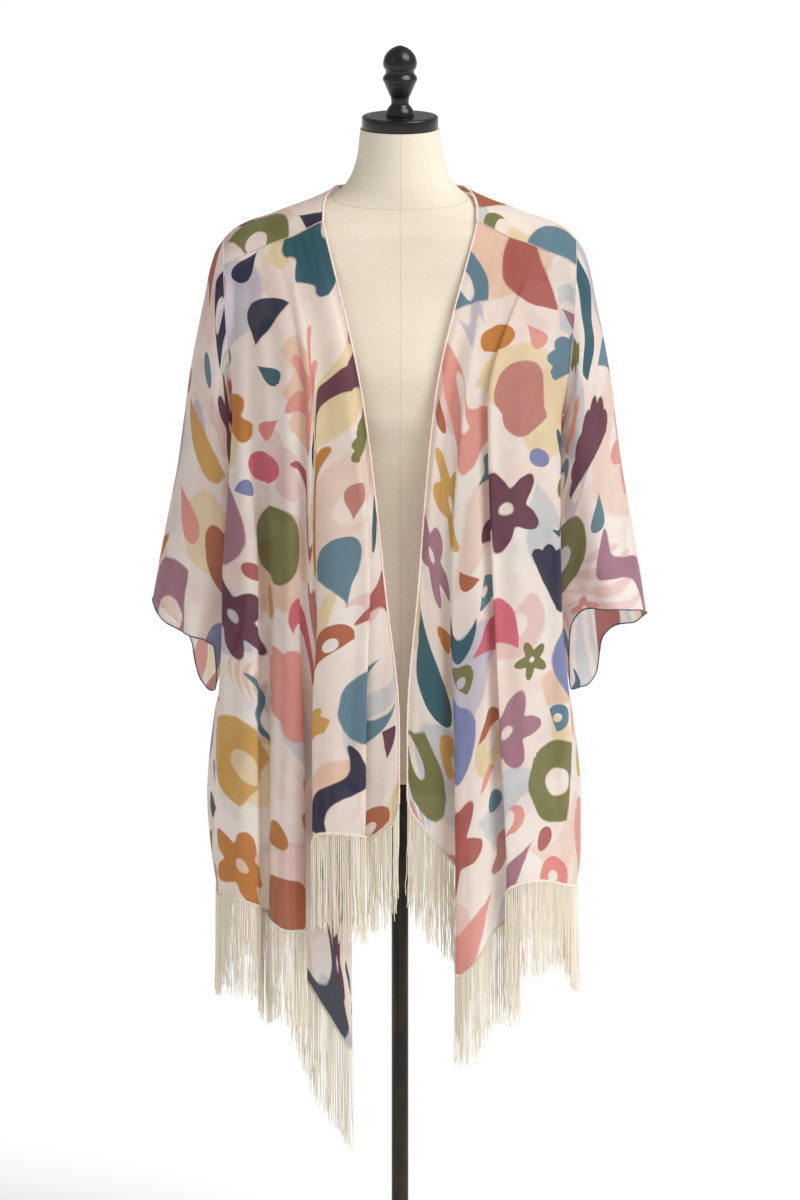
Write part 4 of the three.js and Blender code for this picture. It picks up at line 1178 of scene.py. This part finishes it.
edgeSizes = {"front": 1.1, "cuff": 0.8, "seam": 0.42, "arm": 0.26, "step": 2.2, "sides": 8}
paleRoll = rolledThread("paleRolledHem", (244, 226, 216), (214, 128, 112), 0.0042, 0.2)
darkRoll = rolledThread("darkRolledHem", (86, 80, 92), (46, 48, 66), 0.0038, 0.35)
seamThread = rolledThread("seamStitching", (232, 205, 196), (206, 132, 122), 0.005, 0.22)
plainSeam = rolledThread("plainSeam", (232, 212, 204), (214, 190, 182), 0.006, 0.1)

neckPath = yokePoints[0, seamCount:-seamCount]
frontEdge = np.concatenate([rightGrid[::-1, 0], neckPath, leftGrid[:, 0]])
frontRoll = rollPiece("rolled_front_edge", [edgeRoll(frontEdge, edgeSizes["front"])], paleRoll)
for side, grid in (("left", sleeveLeft), ("right", sleeveRight)):
    loop = np.concatenate([grid[-1], grid[-1, :1]])
    rollPiece("rolled_cuff_" + side, [edgeRoll(loop, edgeSizes["cuff"], True)], darkRoll)
frontSeams = [yokePoints[0, :seamCount], yokePoints[0, -seamCount:]]
seamPaths = frontSeams + [yokePoints[-1], leftGrid[20:, -1], rightGrid[20:, -1]]
seamLoops = [np.concatenate([grid[0], grid[0, :1]]) for grid in (sleeveLeft, sleeveRight)]
seamPiece = rollPiece("stitched_seams", [edgeRoll(path, edgeSizes["seam"]) for path in seamPaths], seamThread)
armPiece = rollPiece("armhole_seams", [edgeRoll(path, edgeSizes["arm"], True) for path in seamLoops],
                     plainSeam)
print("edges and seams made")

# Fringe

upward = np.array([0, 0, 1])
fringe = {
    "hemStep": 3.0, "plyStep": 1.3, "plySides": 5, "plyDrop": 1.2, "rootDrop": 0.5, "taper": 0.35,
    "lengthShare": (0.94, 1.03), "radiusShare": (0.85, 1.12), "waves": (2.2, 4.5),
    "yarnPitch": 0.0016, "glow": 0.42,   # the yarn's own twist in metres, and its share of let-through light
    "pitch": 2.7, "layers": 2, "radius": 0.66, "length": 124, "steps": 9, "sides": 4,
    "longer": 0.09,        # how much the length swells and falls along the hem
    "clump": 19.0, "clumpPull": 1.6, "wave": 1.0, "tipFlick": 4.0, "apart": 1.5,
    "plyRadius": 1.25, "plyOff": 1.35, "plyPitch": 5.2,
}


def fringeYarn():
    material, tree = newMaterial("fringeYarn")
    run = strandPlace(tree)
    along = signalsOf(tree, run)[0]
    tone = grainOf(tree, run, (3.0, 57.0, 1), 2.0)
    colour = mixColour(tree, ranged(tree, tone, 0.3, 0.7, 0.0, 1.0), linear(254, 250, 241),
                       linear(248, 242, 228))
    ply = (along * (math.tau / fringe["yarnPitch"])).sin()
    hair = grainOf(tree, run, (900, 40, 1), 2.0)
    colour = mixColour(tree, ranged(tree, hair, 0.45, 0.75, 0.0, 0.5), colour, linear(255, 252, 244))
    bump = bumpOf(tree, ply + Signal(tree, hair), 0.1, 0.0002)
    body = principled(tree, {"Base Color": colour, "Roughness": 0.8, "Sheen Weight": 0.2,
                             "Specular IOR Level": 0.2, "Normal": bump})
    glow = addNode(tree, "ShaderNodeBsdfTranslucent", {"Color": colour}).outputs[0]
    showOn(tree, addNode(tree, "ShaderNodeMixShader", {0: fringe["glow"], 1: body, 2: glow}).outputs[0])
    return material


def hemRoots(hem, pitch, shift, bare):
    plan = np.linalg.norm(np.diff(hem[:, :2], axis=0), axis=1)
    fall = np.abs(np.diff(hem[:, 2]))
    run = np.concatenate([[0], np.cumsum(np.hypot(plan, 0.45 * fall))])
    at = np.arange(pitch * shift, run[-1], pitch)
    at = at[(at < run[bare[0]]) | (at > run[bare[1]])]
    return np.stack([np.interp(at, run, hem[:, i]) for i in range(3)], -1), at


def bareRun(hem, ends):
    if not ends:
        return 0, 0
    return [int(np.argmin(np.linalg.norm(hem - np.array(end, float), axis=1))) for end in ends]


def resampled(rows, count):
    old, new = np.linspace(0, 1, len(rows)), np.linspace(0, 1, count)
    return np.stack([np.interp(new, old, rows[:, i]) for i in range(3)], -1)


def fringeStrand(rng, root, out, place, layer, seed):
    f = fringe
    t = np.linspace(0, 1, f["steps"] + 1)
    out = out / max(np.linalg.norm(out), 1e-6)
    side = np.array([-out[1], out[0], 0])
    swell = math.sin(place / 33.0 + seed) + 0.5 * math.sin(place / 13.0)
    length = f["length"] * rng.uniform(*f["lengthShare"]) * (1 + f["longer"] * swell)
    gather = -math.sin(place / f["clump"] * math.tau + 1.3 * math.sin(place / 41.0)) * f["clumpPull"]
    flick, lean = rng.normal(0, f["tipFlick"] * 0.5, 2)
    phase, waves = rng.uniform(0, math.tau), rng.uniform(*f["waves"])
    wave = f["wave"] * rng.uniform(0.3, 1) * np.sin(phase + waves * math.tau * t) * t
    sway = gather * t ** 1.4 + flick * t ** 3 + wave
    depth = (layer - 0.5) * f["apart"] * 2 + lean * 0.6 * t ** 2 + 0.8 * np.sin(phase * 2 + 5 * t) * t
    line = root + side * sway[:, None] + out * depth[:, None] - upward * (f["rootDrop"] + t * length)[:, None]
    radii = f["radius"] * (1 - f["taper"] * t ** 6) * rng.uniform(*f["radiusShare"])
    along = np.repeat(t * length * mm, f["sides"])
    return strandMesh(line, radii), np.stack([along, np.full(len(along), place * 0.37 + layer * 3.1)], -1)


def headingPly(hem, outward, ply):
    f = fringe
    sides = f["plySides"]
    fine, at = alongPath(hem, f["plyStep"])
    angle = at / f["plyPitch"] * math.tau + ply * math.pi
    twist = fine + f["plyOff"] * (np.cos(angle)[:, None] * resampled(outward, len(fine))
                                  + np.sin(angle)[:, None] * upward)
    twist[:, 2] -= f["plyDrop"]
    swell = f["plyRadius"] * (1 + 0.18 * np.sin(at * 1.9 + ply))
    uvs = np.stack([np.repeat(at * mm, sides), np.full(len(at) * sides, 7.7 + ply)], -1)
    return tubeMesh(twist, swell, sides), uvs


def makeFringe(name, grid, node, material, seed, plainEdge=None):
    rng = np.random.default_rng(seed)
    hem, normals = grid[-1], gridNormals(grid)[-1]
    bare = bareRun(hem, plainEdge)
    outward = normals * np.sign((normals[:, 1] * hem[:, 1]).sum())
    path, _ = alongPath(hem, fringe["hemStep"])
    facing = resampled(outward, len(path)) * np.array([1, 1, 0])
    made = []
    for layer in range(fringe["layers"]):
        for root, place in zip(*hemRoots(hem, fringe["pitch"], 0.25 + 0.5 * layer, bare)):
            near = np.argmin(np.linalg.norm(path - root, axis=1))
            made.append(fringeStrand(rng, root, facing[near], place, layer, seed))
    runs = [(0, bare[0]), (bare[1], len(hem) - 1)] if plainEdge else [(0, len(hem) - 1)]
    for first, last in runs:
        made += [headingPly(hem[first:last + 1], outward[first:last + 1], ply) for ply in range(2)]
    parts, uvs = zip(*made)
    piece = meshFromParts(name, parts, material, np.concatenate(uvs))
    piece.data.polygons.foreach_set("use_smooth", np.zeros(len(piece.data.polygons), bool))
    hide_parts(node)
    print(f"{name}: {len(piece.data.polygons)} faces")
    return piece


def strandMesh(line, radii):
    sides = fringe["sides"]
    turn = np.arange(sides) * math.tau / sides + line[0, 0]
    ring = np.stack([np.cos(turn), np.sin(turn), 0 * turn], -1)
    points = (line[:, None] + ring[None] * radii[:, None, None]).reshape(-1, 3)
    faces = []
    for j in range(len(line) - 1):
        for k in range(sides):
            a, b = j * sides + k, j * sides + (k + 1) % sides
            faces.append([b, a, a + sides, b + sides])
    end = len(points) - sides
    return points, faces, [list(range(sides)), [end + k for k in reversed(range(sides))]]


yarn = fringeYarn()
fringeLeft = makeFringe("yarn_fringe_front_left", leftGrid, "fringe_front_left", yarn, 5,
                        plainEdge=[(-109, -155, 618), (-57, -113, 345)])
fringeRight = makeFringe("yarn_fringe_front_right", rightGrid, "fringe_front_right", yarn, 6)
fringeBack = makeFringe("yarn_fringe_back", backGrid, "fringe_back", yarn, 7)
print("fringe made")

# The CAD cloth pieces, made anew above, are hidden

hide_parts("front_left")
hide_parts("front_right")
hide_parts("back")
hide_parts("yoke")
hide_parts("sleeve_left")
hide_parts("sleeve_right")
